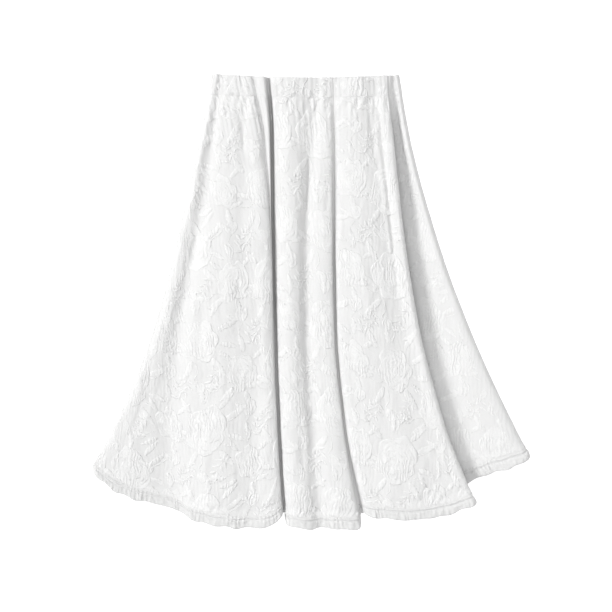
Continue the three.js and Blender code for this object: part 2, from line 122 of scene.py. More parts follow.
# ---- the surface that the solids are walls round ----
def smooth(at, values):
    """Interpolation through values that never overshoots them."""
    at, v = np.array(at, float), np.array(values, float)
    n, step = len(at), np.diff(v) / np.diff(at)
    slope = np.zeros(n)
    slope[0], slope[-1] = step[0], step[-1]
    for i in range(1, n - 1):
        if step[i - 1] * step[i] > 0:
            a, b = at[i] - at[i - 1], at[i + 1] - at[i]
            w1, w2 = 2 * b + a, b + 2 * a
            slope[i] = (w1 + w2) / (w1 / step[i - 1] + w2 / step[i])

    def f(d):
        d = np.asarray(d, float)
        i = np.clip(np.searchsorted(at, d, side="left") - 1, 0, n - 2)
        h = at[i + 1] - at[i]
        t = np.clip((d - at[i]) / h, 0, 1)
        u = 1 - t
        return v[i] * (1 + 2 * t) * u * u + slope[i] * h * t * u * u + v[i + 1] * t * t * (3 - 2 * t) - slope[i + 1] * h * t * t * u

    return f


def ease(t):
    return 1 - (1 - np.clip(t, 0, 1)) ** 2


def fade(t):
    t = np.clip(t, 0, 1)
    return t * t * (3 - 2 * t)


class Line:
    def __init__(self, x, z, hem, flat=False, name="", calm=1.0):
        self.x, self.z, self.hem, self.flat, self.name, self.calm = x, z, hem, flat, name, calm
        self.slant = 1.0


# how much of the loose wrinkling the cloth shows at lines whose cloth is turned or hidden
CALM = {"A tuck valley": 0.3, "A tuck crest": 0.2, "A B cleft": 0.1, "B1 wall": 0.3, "B2 wall": 0.3, "B C cleft": 0.1,
        "C wall": 0.3, "under C": 0.1, "D base": 0.6, "D rise": 0.75, "D crest": 0.5, "left seam": 0.0, "right seam": 0.0, "C right edge": 0.5, "right side": 0.3,
        "left side": 0.6}


def front_lines(row):
    r = dict(zip(COLUMNS, row))
    x = smooth(X_AT + [r["hem"]], [r[c] for c in ("x0", "x87", "x242", "x397", "x552", "xHem")])
    z = smooth(Z_AT + [r["hem"]], [r[c] for c in ("z0", "z87", "z397", "zHem")])
    calm = CALM.get(r["line"], 1.0)
    turn = r["turn"]
    if not turn:
        return [Line(x, z, r["hem"], name=r["line"], calm=calm)]
    dip = turn == "dip"
    inwards, climb = (1 if turn.startswith("left") else -1), (1 if turn.endswith("up") else -1)

    def made(place):
        def radius(d):
            return r["r0"] + (r["r1"] - r["r0"]) * ease(d / ROLL_REACH)

        def opened(d):
            return 0.0 if r["r0"] else OPENED * (1 - ease(d / ROLL_REACH))

        def at_x(d):
            return x(d) + (place * radius(d) if dip else abs(place) * inwards * radius(d) + place * opened(d))

        def at_z(d):
            return z(d) + (abs(place) * 0.6 if dip else place * climb) * radius(d)

        return Line(at_x, at_z, r["hem"] + (r["over"] if place == climb else 0), name=r["line"], calm=calm)

    return [made(place) for place in (-1, 0, 1)]


def back_lines(row):
    r = dict(zip(BACK_COLUMNS, row))
    at = X_AT + [r["hem"]]
    x = smooth(at, [r[c] for c in ("x0", "x87", "x242", "x397", "x552", "xHem")])
    flat = WALL / 2
    if not r["pleat"]:
        return [Line(x, lambda d: flat + 0 * d, r["hem"], True, r["line"])]
    depth = smooth(at, [r[c] for c in ("p0", "p87", "p242", "p397", "p552", "pHem")])

    def turn(d):
        return np.clip(depth(d) / 3, -3, PLEAT_ROLL)

    def rise(d):
        return PLEAT_ROLL * ease((d - CASING) / 180)

    def apart(d):
        return 1 - np.clip((depth(d) - 2 * turn(d)) / 3, 0, 1)

    def left(d):
        return np.minimum(0, depth(d) - 2.5)

    def line(dx, dz, is_flat=False):
        return Line(lambda d: x(d) + dx(d), lambda d: flat + dz(d) + 0 * d, r["hem"], is_flat, r["line"], 0.2)

    return [
        line(lambda d: 2.5 + 0 * d, lambda d: 0),
        line(lambda d: 0 * d, rise),
        line(turn, lambda d: 2 * rise(d)),
        line(lambda d: depth(d) - turn(d), lambda d: rise(d) * (2 + 0.6 * apart(d))),
        line(depth, lambda d: rise(d) * (3 + 0.5 * apart(d))),
        line(lambda d: depth(d) - 2.5, lambda d: 4 * rise(d)),
        line(lambda d: left(d) - 4, lambda d: 3 * rise(d)),
        line(lambda d: left(d) - 15, lambda d: 0, True),
    ]


front = [line for row in FRONT_LINES for line in front_lines(row)]
back = [line for row in BACK_LINES for line in back_lines(row)]
LOOP = front + back
RING = front + [line for line in back if line.flat]
SIDE = len(front) - 1
for i, line in enumerate(LOOP):
    slants = []
    for other in (LOOP[i - 1], LOOP[(i + 1) % len(LOOP)]):
        gap = math.hypot(other.x(other.hem) - line.x(line.hem), other.z(other.hem) - line.z(line.hem))
        slants.append(math.hypot(other.hem - line.hem, gap) / max(gap, 0.5))
    line.slant = min(4, max(1, *slants))


def top_edge(line):
    t = min(1, abs(float(line.x(0))) / WAIST_HALF)
    return WAIST_SAG * (1 - t * t)


def casing_foot(line):
    return top_edge(line) + CASING


def hem_seam(line):
    return line.hem - HEM_BAND


def control(loop, start, end, ss):
    """Every line's points at the rows ss, from start(line) to end(line)."""
    out = np.empty((len(loop), len(ss), 3))
    for k, line in enumerate(loop):
        d = start(line) + np.asarray(ss) * (end(line) - start(line))
        out[k, :, 0], out[k, :, 1], out[k, :, 2] = line.x(d), LENGTH / 2 - d, line.z(d)
    return out


def across(P, us):
    """Smooth curves across through the lines' points P, at the places us."""
    n = len(P)
    us = np.asarray(us, float)
    k = np.floor(us + 1e-9).astype(int)
    f = np.clip(us - k, 0, 1)[:, None]
    p0, p1, p2, p3 = (P[(k + o) % n] for o in (-1, 0, 1, 2))

    def gap(a, b):
        return np.sqrt(np.maximum(0.05, np.linalg.norm(a - b, axis=-1)))

    t1 = gap(p0, p1)
    t2 = t1 + gap(p1, p2)
    t3 = t2 + gap(p2, p3)
    t = t1 + (t2 - t1) * f

    def mix(a, b, ta, tb):
        return a * ((tb - t) / (tb - ta))[..., None] + b * ((t - ta) / (tb - ta))[..., None]

    a1, a2, a3 = mix(p0, p1, 0, t1), mix(p1, p2, t1, t2), mix(p2, p3, t2, t3)
    at = mix(mix(a1, a2, 0, t2), mix(a2, a3, t1, t3), t1, t2)
    at[..., 2] = np.maximum(at[..., 2], WALL / 2)
    return at


def surface(us, ss, loop, start, end):
    """Middle points and outward normals of the solids' walls, as (len(us), len(ss), 3) arrays."""
    e, h = 0.04, 0.004
    P = control(loop, start, end, ss)
    at = across(P, us)
    over = across(P, us + e) - across(P, us - e)
    down = across(control(loop, start, end, ss + h), us) - across(control(loop, start, end, ss - h), us)
    out = np.cross(down, over)
    return at, out / np.maximum(np.linalg.norm(out, axis=-1), 1e-9)[..., None]


def spread(a, b, count, loop, start, end, closed=False):
    """count places from line a to line b, evenly spaced along the cloth and closer round tight turns."""
    u = np.linspace(a, b, 9000)
    p = across(control(loop, start, end, np.array([0.12, 0.5, 0.95])), u)
    step = np.diff(p, axis=0)
    size = np.linalg.norm(step, axis=-1)
    way = step / np.maximum(size, 1e-9)[..., None]
    bend = np.zeros_like(size)
    bend[1:] = np.arccos(np.clip((way[1:] * way[:-1]).sum(-1), -1, 1))
    weight = (size + 2.4 * bend).mean(axis=1)
    total = np.concatenate([[0], np.cumsum(weight)])
    return np.interp(np.linspace(0, total[-1], count + (1 if closed else 0)), total, u)[: count]


def in_by(us, loop, gap=SEAM_GAP / 2):
    """Draw both ends of a stretch in by half the seam gap."""
    P = control(loop, lambda l: 0.6 * l.hem, lambda l: 0.6 * l.hem, np.array([0.0]))
    out = np.array(us, float)
    for i, w in ((0, 0.02), (-1, -0.02)):
        two = across(P, np.array([us[i], us[i] + w]))[:, 0]
        out[i] = us[i] + gap / (np.linalg.norm(two[1] - two[0]) / abs(w)) * np.sign(w)
    return out


def line_value(us, loop, values):
    """A value that each line has, blended smoothly across to the next."""
    values = np.asarray(values, float)
    k = np.floor(us + 1e-9).astype(int)
    f = fade(us - k)
    n = len(loop)
    return values[k % n] * (1 - f) + values[(k + 1) % n] * f


# ---- meshes ----
class PaintedFoldShade:
    """How far a point lies below the cloth around it, the strength of the shade painted into the cloth's colour: 0 on
    the open cloth, 1 deep between two folds.
    """

    def __init__(self, grid, cell=2.0, reach=9):
        self.cell, self.low, self.end = cell, grid[..., :2].reshape(-1, 2).min(axis=0) - 60, grid[..., 1].max() - 7
        size = tuple(np.ceil((grid[..., :2].reshape(-1, 2).max(axis=0) + 60 - self.low) / cell).astype(int) + 2)
        top = np.zeros(size)
        for t in (0, 0.25, 0.5, 0.75):
            for u in (0, 0.5):
                g = grid[:-1] * (1 - t) + grid[1:] * t
                g = g[:, :-1] * (1 - u) + g[:, 1:] * u
                i = ((g[..., :2] - self.low) / cell).astype(int)
                np.maximum.at(top, (i[..., 0].ravel(), i[..., 1].ravel()), g[..., 2].ravel())
        there = (top > 0).astype(float)
        for axis, wide in ((0, reach), (0, reach), (1, 9)):
            top, there = (sum(np.roll(a, k, axis) for k in range(-wide, wide + 1)) for a in (top, there))
        self.level = top / np.maximum(there, 1e-9)

    def at(self, points):
        x, y, z = np.asarray(points).T
        p = (np.stack([x, np.minimum(y, self.end)], -1) - self.low) / self.cell - 0.5
        n, m = self.level.shape
        i, j = np.clip(p[:, 0], 0, n - 1.001), np.clip(p[:, 1], 0, m - 1.001)
        a, b = i.astype(int), j.astype(int)
        i, j = i - a, j - b
        level = ((self.level[a, b] * (1 - i) + self.level[a + 1, b] * i) * (1 - j)
                 + (self.level[a, b + 1] * (1 - i) + self.level[a + 1, b + 1] * i) * j)
        # the painted shade is fainter lower down, where the folds open, and on the waist casing
        share = 1 - 0.5 * fade((20 - y) / 150) - 0.4 * fade((y - self.end) / 12)
        return np.clip((level - z - 2.0) / 9.5, 0, 1) * np.clip(z - 0.5, 0, 1) * share


# painted shade: the mask that darkens the front pieces' colour between the folds
folds = []                    # the front cloth's fold depths, once it is made


def mesh_object(name, verts, quads, tris, uv, material, slot, sharp=None):
    """One object from points in millimetres. uv is in metres of flat cloth, one for each vertex."""
    quads, tris = np.asarray(quads, np.int32).reshape(-1, 4), np.asarray(tris, np.int32).reshape(-1, 3)
    mesh = bpy.data.meshes.new(name)
    mesh.vertices.add(len(verts))
    mesh.vertices.foreach_set("co", (np.asarray(verts) / 1000).astype(np.float32).ravel())
    loops = np.concatenate([quads.ravel(), tris.ravel()])
    mesh.loops.add(len(loops))
    mesh.loops.foreach_set("vertex_index", loops)
    starts = np.concatenate([np.arange(len(quads)) * 4, len(quads) * 4 + np.arange(len(tris)) * 3]).astype(np.int32)
    mesh.polygons.add(len(starts))
    mesh.polygons.foreach_set("loop_start", starts)
    mesh.update(calc_edges=True)
    layer = mesh.uv_layers.new(name="cloth")
    layer.data.foreach_set("uv", np.asarray(uv, np.float32)[loops].ravel())
    # painted shade: each vertex's fold depth, which darkens its colour in the shader (none on the back pieces)
    deep = folds[0].at(np.asarray(verts)) if folds and not name.startswith("back") else np.zeros(len(verts))
    mesh.attributes.new("painted_fold_shade", "FLOAT", "POINT").data.foreach_set("value", deep.astype(np.float32))
    mesh.polygons.foreach_set("use_smooth", np.ones(len(starts), bool))
    mesh.materials.append(material)
    mesh.validate()
    if sharp:
        mesh.set_sharp_from_angle(angle=math.radians(sharp))
    obj = bpy.data.objects.new(name, mesh)
    bpy.context.scene.collection.objects.link(obj)
    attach(obj, "root")
    return obj


def stitch(a, pa, b, pb, flip):
    """Triangles between two rows of vertices a and b, at the places pa and pb along them."""
    out, i, j = [], 0, 0
    while i < len(a) - 1 or j < len(b) - 1:
        if j == len(b) - 1 or (i < len(a) - 1 and pa[i + 1] <= pb[j + 1] + 1e-9):
            out.append((a[i], a[i + 1], b[j]))
            i += 1
        else:
            out.append((a[i], b[j + 1], b[j]))
            j += 1
    out = np.array(out)
    return out[:, ::-1] if flip else out


def shell(outer, uo, so, inner, ui, si, closed=False):
    """A closed cloth: a fine outside grid and a coarser inside one, joined round the rims.
    The grids are (places, rows, 3), and uo, so, ui and si are where their places and rows are."""
    n, m = outer.shape[:2]
    p, q = inner.shape[:2]
    base = n * m

    def o(i, j):
        return (np.asarray(i) % n) * m + j

    def w(i, j):
        return base + (np.asarray(i) % p) * q + j

    I, J = np.meshgrid(np.arange(n if closed else n - 1), np.arange(m - 1), indexing="ij")
    top = np.stack([o(I, J), o(I, J + 1), o(I + 1, J + 1), o(I + 1, J)], -1).reshape(-1, 4)
    I, J = np.meshgrid(np.arange(p if closed else p - 1), np.arange(q - 1), indexing="ij")
    low = np.stack([w(I, J), w(I + 1, J), w(I + 1, J + 1), w(I, J + 1)], -1).reshape(-1, 4)
    eo, ei = np.arange(n + (1 if closed else 0)), np.arange(p + (1 if closed else 0))
    po = np.concatenate([uo, [uo[0] + 1e6]]) if closed else uo
    pi = np.concatenate([ui, [ui[0] + 1e6]]) if closed else ui
    tris = [stitch(o(eo, 0), po, w(ei, 0), pi, False), stitch(o(eo, m - 1), po, w(ei, q - 1), pi, True)]
    if not closed:
        tris += [stitch(o(0, np.arange(m)), so, w(0, np.arange(q)), si, True),
                 stitch(o(n - 1, np.arange(m)), so, w(p - 1, np.arange(q)), si, False)]
    return np.concatenate([outer.reshape(-1, 3), inner.reshape(-1, 3)]), np.concatenate([top, low]), np.concatenate(tris)


def grid_normals(grid):
    """Outward normals of a (places, rows, 3) grid."""
    du, ds = np.gradient(grid, axis=0), np.gradient(grid, axis=1)
    n = np.cross(ds, du)
    return n / np.maximum(np.linalg.norm(n, axis=-1), 1e-9)[..., None]


def lowest(values, across_, down_):
    """The least value of a (places, rows) grid within some places and rows of each point."""
    for axis, reach in ((0, across_), (1, down_)):
        edge = np.pad(values, [(reach, reach) if a == axis else (0, 0) for a in (0, 1)], mode="edge")
        size = values.shape[axis]
        values = np.min([np.take(edge, np.arange(k, k + size), axis=axis) for k in range(2 * reach + 1)], axis=0)
    return values


# ---- loose wrinkles, in flat cloth coordinates ----
class Noise:
    """Smooth seeded noise in a plane, about -1 to 1, stretched stretch times longer down than across."""

    def __init__(self, seed, size, stretch=1.0, waves=26, turn=0.0):
        r = np.random.default_rng(seed)
        way = r.uniform(0, 2 * math.pi, waves)
        k = 2 * math.pi / (size * r.uniform(0.75, 1.5, waves))
        kx, ky = k * np.cos(way), k * np.sin(way) / stretch
        c, s = math.cos(turn), math.sin(turn)
        self.kx, self.ky = kx * c - ky * s, kx * s + ky * c
        self.phase = r.uniform(0, 2 * math.pi, waves)

    def __call__(self, x, y):
        out = np.zeros(np.broadcast(x, y).shape)
        for kx, ky, p in zip(self.kx, self.ky, self.phase):
            out += np.cos(kx * x + ky * y + p)
        return out / math.sqrt(len(self.phase) / 2) / 1.6


broad = Noise(3, 95, 2.4)
medium = Noise(5, 38, 2.0)
fine = Noise(7, 15, 1.5)
sharp_a, sharp_b = Noise(11, 46, 2.6, turn=0.25), Noise(13, 40, 2.2, turn=-0.35)
where = Noise(17, 120, 1.3)


def crumple(x, y):
    """Millimetres that the loose cloth stands up: broad swells, small wrinkles and short sharper creases."""
    creased = np.clip(0.35 - np.abs(sharp_a(x, y)), 0, 1) ** 1.4 + 0.8 * np.clip(0.3 - np.abs(sharp_b(x, y)), 0, 1) ** 1.4
    return (0.36 * broad(x, y) + 0.26 * medium(x, y) + 0.13 * fine(x, y)
            + 2.1 * creased * np.clip(0.40 + 0.8 * where(x, y), 0, 1))


# The creases that show most, listed one by one. Each runs from (xa, da) to (xb, db) and bows sideways by bow; width is
# half its breadth, and height is below 0 for a trough.
CREASE_COLUMNS = ["xa", "da", "xb", "db", "bow", "width", "height"]
FRONT_CREASES = [
    [-135.6,   2, -141.8,  50,   1.0, 2.2, -1.6],
    [-157.0, 150, -166.0, 215,   1.5, 4.0, -0.9],
    [-106.2,  72, -107.0, 128,   2.0, 3.5, -1.2],
    [-118.6,   8, -120.9,  40,   0.0, 2.5, -0.9],
    [-122.5,  96, -126.0, 168,  -2.0, 4.5, -0.8],
    [-92.2,   12,  -84.0,  60,   1.0, 2.0, -0.9],
    [-27.7,    4,  -29.5,  34,   0.5, 2.2, -1.0],
    [-8.5,     8,  -13.0,  48,   1.0, 2.4, -1.2],
    [10.1,    30,    6.2,  78,  -1.0, 2.6, -1.0],
    [-3.9,   128,   -8.5, 222,   1.0, 2.2, -1.3],
    [-14.0,  330,   -8.0, 420,  -3.0, 4.5, -0.9],
    [24.0,   150,   22.5, 230,   1.5, 3.0, -0.8],
    [68.2,     6,   72.9,  66,  -1.0, 2.6, -1.1],
    [58.9,    24,   60.5,  90,   1.0, 2.6,  0.8],
    [86.8,    40,   96.1, 140,   1.5, 3.2, -0.9],
    [111.6,  150,  124.0, 250,   1.0, 3.6, -1.0],
    [137.0,  330,  170.0, 470,  -4.0, 7.0, -1.0],
    [70.0,   250,   88.0, 400,   4.0, 9.0,  0.9],
    [112.0,  430,  121.0, 560,  -4.0, 8.0, -0.8],
    [-118.0, 300, -112.0, 430,   5.0, 9.0, -1.0],
    [-160.0, 330, -172.0, 470,  -5.0, 8.0, -0.9],
    [-99.0,  470,  -92.0, 600,   5.0, 8.0, -0.9],
    [-150.0, 520, -166.0, 640,  -4.0, 7.0,  0.9],
    [-232.0, 330, -262.0, 450,   4.0, 6.0, -1.0],
    [-255.0, 480, -292.0, 580,   5.0, 8.0, -1.1],
    [-222.0, 230, -236.0, 330,  -3.0, 5.0, -0.8],
    [36.0,   480,   52.0, 640,   3.0, 6.0, -0.8],
    [-22.0,  500,  -14.0, 650,   3.0, 5.0, -0.9],
    [172.0,  200,  196.0, 320,   3.0, 5.0, -1.0],
    [206.0,  330,  240.0, 470,  -3.0, 6.0, -1.0],
    [252.0,  400,  282.0, 520,   3.0, 6.0,  0.9],
    [150.0,  110,  166.0, 190,   1.5, 3.5, -0.9],
]
# The crisper edges of the folds, in the same columns: a ridge, or a narrow trough beside one.
FRONT_EDGES = [
    [-97.6,    2,  -72.1, 126,   0.0, 1.5,  1.4],
    [-92.6,    4,  -69.0, 130,   0.0, 2.2, -1.3],
    [97.5,    10,  131.0, 335,   2.5, 2.6, -2.4],
    [95.0,    60,  125.0, 320,   3.0, 3.2,  1.2],
    [-3.4,   112,   -8.5, 232,   1.0, 1.6, -1.1],
    [-139.5,  20, -160.0, 150,  -2.0, 2.6, -1.2],
    [112.0,   10,  119.5,  70,   0.5, 1.8, -1.5],
    [96.5,     4,   99.0,  60,   0.0, 1.8, -1.4],
]
BACK_CREASES = [
    [-150.0, 120, -178.0, 260,   4.0, 5.0,  1.0],
    [-60.0,  150,  -74.0, 330,   3.0, 5.0,  0.9],
    [20.0,   200,   28.0, 380,  -4.0, 6.0,  1.0],
    [60.0,    60,   64.0, 200,   3.0, 4.0,  0.8],
    [130.0,  180,  156.0, 330,   4.0, 6.0,  1.0],
    [210.0,  380,  240.0, 520,  -4.0, 7.0,  1.1],
    [-230.0, 400, -262.0, 540,   5.0, 7.0,  1.0],
    [-40.0,  420,  -44.0, 600,   4.0, 6.0,  0.9],
    [98.0,   460,  104.0, 600,  -4.0, 6.0,  0.8],
]


def creases(rows, x, d):
    out = np.zeros(x.shape)
    for row in rows:
        r = dict(zip(CREASE_COLUMNS, row))
        ax, ad = r["xb"] - r["xa"], r["db"] - r["da"]
        size = math.hypot(ax, ad)
        ax, ad = ax / size, ad / size
        t = ((x - r["xa"]) * ax + (d - r["da"]) * ad) / size
        off = (x - r["xa"]) * ad - (d - r["da"]) * ax - r["bow"] * (1 - (2 * np.clip(t, 0, 1) - 1) ** 2)
        near = (np.abs(off) < 3.2 * r["width"]) & (t > -0.02) & (t < 1.02)
        ends = fade(t / 0.35) * fade((1 - t) / 0.35)
        out[near] += (r["height"] * ends * np.exp(-(off / r["width"]) ** 2))[near]
    return out


# Small gathers that run down from the casing, listed one by one: along is millimetres of cloth across from the left
# side seam, reach is how far down each fades out.
GATHER_COLUMNS = ["along", "height", "width", "reach"]
FRONT_GATHERS = [
    [14, 0.8, 3.0, 40], [23, -0.7, 2.6, 60], [33, 0.9, 3.2, 34], [42, 0.6, 2.4, 52], [52, -0.9, 2.8, 70], [60, 0.9, 2.6, 30],
    [70, 1.0, 3.0, 62], [79, -0.8, 2.4, 44], [88, 0.7, 2.6, 76], [98, 0.9, 2.4, 36], [107, -0.9, 2.8, 56], [128, 0.8, 2.4, 40],
    [137, -0.8, 2.6, 70], [147, 1.0, 3.0, 48], [157, 0.8, 2.4, 84], [166, -1.0, 2.8, 52], [176, 0.9, 2.6, 38], [187, 0.7, 3.0, 66],
    [197, -0.9, 2.6, 44], [207, 0.8, 2.4, 58], [218, 0.9, 2.8, 36], [228, -0.8, 2.6, 72], [238, 0.8, 2.6, 46], [250, 0.9, 3.0, 60],
    [261, -0.9, 2.6, 40], [271, 0.8, 2.4, 54], [283, 0.9, 2.8, 68], [294, -0.8, 2.6, 36], [305, 0.7, 2.6, 50], [318, 0.6, 2.6, 40],
    [342, 0.4, 2.6, 36],
]


def gathers(rows, along, d):
    out = np.zeros(along.shape)
    for row in rows:
        r = dict(zip(GATHER_COLUMNS, row))
        out += 1.3 * r["height"] * np.exp(-((along - r["along"]) / r["width"]) ** 2) * fade(1 - (d - CASING) / r["reach"])
    return out * fade((d - CASING + 1.0) / 3.0)


# ---- a panel: its fine cloth, and where flat cloth coordinates lie on it ----
class Panel:
    def __init__(self, name, first, last, counts, creases_of, gathers_of, loose, seed_shift, floor):
        self.name = name
        start, end = casing_foot, hem_seam
        nu, ns, mu, ms = counts
        uo = in_by(spread(first, last, nu, LOOP, start, end), LOOP)
        self.so = np.linspace(0, 1, ns)
        mid, out = surface(uo, self.so, LOOP, start, end)
        along = np.concatenate([np.zeros((1, ns)), np.cumsum(np.linalg.norm(np.diff(mid, axis=0), axis=-1), axis=0)])
        total = along[-1]
        deep = np.linalg.norm(np.diff(mid, axis=1), axis=-1).sum(axis=1).mean()
        # the flat cut is a ring's sector: its radius at the waist and its angle
        self.deep, self.radius = deep, deep * total[0] / (total[-1] - total[0])
        self.angle = (total[-1] - total[0]) / deep
        self.share = along / total
        theta = (self.share - 0.5) * self.angle
        r = self.radius + self.so[None, :] * deep
        self.flat_x, self.flat_y = r * np.sin(theta), r * np.cos(theta) - self.radius
        d = LENGTH / 2 - mid[..., 1]
        calm = line_value(uo, LOOP, [l.calm for l in LOOP])[:, None]
        s = self.so[None, :]
        ends = fade(s * deep / 5) * fade((1 - s) * deep / 6) * fade(along / 12) * fade((total - along) / 12)
        rise = loose * crumple(self.flat_x + seed_shift, self.flat_y) * (0.45 + 0.55 * fade(s * deep / 120))
        rise = rise * 1.35 + 1.35 * creases(creases_of, mid[..., 0], d) * np.clip(np.abs(out[..., 2]) * 1.5 - 0.5, 0, 1)
        # the hem draws the cloth above it into short puckers
        hem_pull = np.exp(-(1 - s) * deep / 17.0)
        rise = rise + loose * 0.8 * hem_pull * Noise(29, 10, 5.0)(along + seed_shift, (1 - s) * deep * 0.6 + 0 * along)
        # and a soft dip above the hem, before its ridge
        dip = np.exp(-(((1 - s) * deep - 9.0) / 6.0) ** 2) * (1.0 + 0.4 * Noise(31, 70)(along + seed_shift, 0 * s + 0 * along))
        rise = rise - loose * 1.1 * dip
        rise = rise * ends * calm
        if loose > 0.9:
            rise = rise + creases(FRONT_EDGES, mid[..., 0], d) * ends * np.clip(np.abs(out[..., 2]) * 2 - 0.5, 0, 1)
        rise = rise + gathers(gathers_of, along + 0 * s, d) * calm * fade((total - along) / 12) * fade(along / 12)
        least = 1.3 - 0.7 * fade(1 - (1 - s) * deep / 34)
        rise = np.where(rise < -least, -least - 0.6 * np.tanh((-least - rise) / 0.6), rise)
        self.mid = mid
        if floor:
            rise = -np.abs(rise) * 0.8 * fade((mid[..., 2] - 0.0) / 0.5)
        self.outer = mid + out * (GROUND_OUT + rise)[..., None]
        inner = mid + out * (lowest(rise, 3, 4) - GROUND_IN)[..., None]
        if floor:
            self.outer[..., 2] = np.maximum(self.outer[..., 2], 0.42)
        pick_u = np.unique(np.round(np.linspace(0, nu - 1, mu)).astype(int))
        pick_s = np.unique(np.round(np.linspace(0, ns - 1, ms)).astype(int))
        inner = inner[np.ix_(pick_u, pick_s)]
        inner[..., 2] = np.maximum(inner[..., 2], 0.9)
        self.mesh = shell(self.outer, uo, self.so, inner, uo[pick_u], self.so[pick_s])
        uv = np.stack([self.flat_x, self.flat_y], -1) / 1000
        self.uv = np.concatenate([uv.reshape(-1, 2), uv[np.ix_(pick_u, pick_s)].reshape(-1, 2)])
        self.ground = Ground(self.outer, self.share, self.so, calm[:, 0], self.radius, self.angle, 0.0, deep)
        self.reach_x, self.reach_y = self.flat_x.max(), (self.flat_y.min(), self.flat_y.max())
        self.area = 0.5 * (total[1:] + total[:-1]).mean() * deep / 1e6
        print(name, "flat: top", round(total[0]), "hem", round(total[-1]), "deep", round(deep), "area", round(self.area, 3))


class Ground:
    """Finds flat cloth points on a laid grid: share is each grid point's place across its row, 0 to 1."""

    def __init__(self, grid, share, rows, calm, radius, angle, from_y, deep):
        self.radius, self.angle, self.from_y, self.deep, self.rows = radius, angle, from_y, deep, rows
        self.open_clefts = True
        normal = grid_normals(grid)
        n = 1500
        self.even = np.linspace(0, 1, n)
        self.on, self.up = np.empty((n, len(rows), 3)), np.empty((n, len(rows), 3))
        for j in range(len(rows)):
            for c in range(3):
                self.on[:, j, c] = np.interp(self.even, share[:, j], grid[:, j, c])
                self.up[:, j, c] = np.interp(self.even, share[:, j], normal[:, j, c])
        # the lace is pressed flatter in the folds' clefts
        low = np.minimum(np.clip(calm, 0, 1), 1)
        self.high = np.stack([np.interp(self.even, share[:, j], low) for j in range(len(rows))], 1)[..., None]

    def place(self, x, y, h):
        """Points h above the cloth at flat places x, y, and which of them lie past its edges."""
        r = np.hypot(x, self.radius + y)
        share = np.arctan2(x, self.radius + y) / self.angle + 0.5
        s = (r - self.radius - self.from_y) / self.deep
        edge_a, edge_s = 1.0 / (self.angle * r), 0.5 / self.deep
        off = (share < edge_a).astype(int) + 2 * (share > 1 - edge_a) + 4 * (s < edge_s) + 8 * (s > 1 - edge_s)
        share, s = np.clip(share, edge_a, 1 - edge_a), np.clip(s, edge_s, 1 - edge_s)
        i, j = share * (len(self.even) - 1), np.interp(s, self.rows, np.arange(len(self.rows)))
        i0, j0 = np.minimum(i.astype(int), len(self.even) - 2), np.minimum(j.astype(int), len(self.rows) - 2)
        fi, fj = (i - i0)[:, None], (j - j0)[:, None]

        off = off + 16 * (self.high[i0, j0, 0] < 0.36) if self.open_clefts else off

        def at(g):
            return ((g[i0, j0] * (1 - fi) + g[i0 + 1, j0] * fi) * (1 - fj) + (g[i0, j0 + 1] * (1 - fi) + g[i0 + 1, j0 + 1] * fi) * fj)

        up = at(self.up)
        up /= np.maximum(np.linalg.norm(up, axis=1), 1e-9)[:, None]
        flat = np.where(h > 0, 0.64 * h * (0.25 + 0.75 * at(self.high)[:, 0] ** 2), h)
        return at(self.on) + up * np.where(off > 0, -0.2, flat)[:, None], off


# ---- lace motifs: each a low closed relief, as (x, y, height) points, faces and the layer it belongs to ----
def rings_to_motif(rings, centre, under):
    """rings of points (n, 3) from the rim inwards, a centre point, and how deep the hidden underside lies."""
    n, rows = len(rings[0]), len(rings)
    verts = np.concatenate(rings + [np.array([centre])])
    k, i = np.meshgrid(np.arange(rows - 1), np.arange(n), indexing="ij")
    nxt = (i + 1) % n
    quads = np.stack([k * n + i, k * n + nxt, (k + 1) * n + nxt, (k + 1) * n + i], -1).reshape(-1, 4)
    i, nxt = np.arange(n), (np.arange(n) + 1) % n
    top = rows * n
    tris = np.stack([(rows - 1) * n + i, (rows - 1) * n + nxt, np.full(n, top)], -1)
    low = rings[0].copy()
    mid = low.mean(axis=0)
    low[:, :2] = mid[:2] + (low[:, :2] - mid[:2]) * 0.5
    low[:, 2] = under
    verts = np.concatenate([verts, low, [[mid[0], mid[1], under]]])
    b = top + 1
    quads = np.concatenate([quads, np.stack([nxt, i, b + i, b + nxt], -1)])
    tris = np.concatenate([tris, np.stack([b + nxt, b + i, np.full(n, b + n)], -1)])
    return verts, quads, tris


PETAL_COLUMNS = ["rim", "petals", "height"]
ROSE_PETALS = [[1.00, 5, 1.35], [0.78, 5, 1.55], [0.57, 4, 1.65], [0.37, 3, 1.65], [0.19, 2, 1.55]]
BUD_PETALS = [[1.00, 4, 1.2], [0.56, 3, 1.4]]
# From one petal's rim to the next: share of the way in, and height as a share of the petal's
CONTOURS = [(0.0, 0.10), (0.12, 0.85), (0.30, 0.30), (0.50, 0.72), (0.70, 0.18), (0.87, 0.34)]


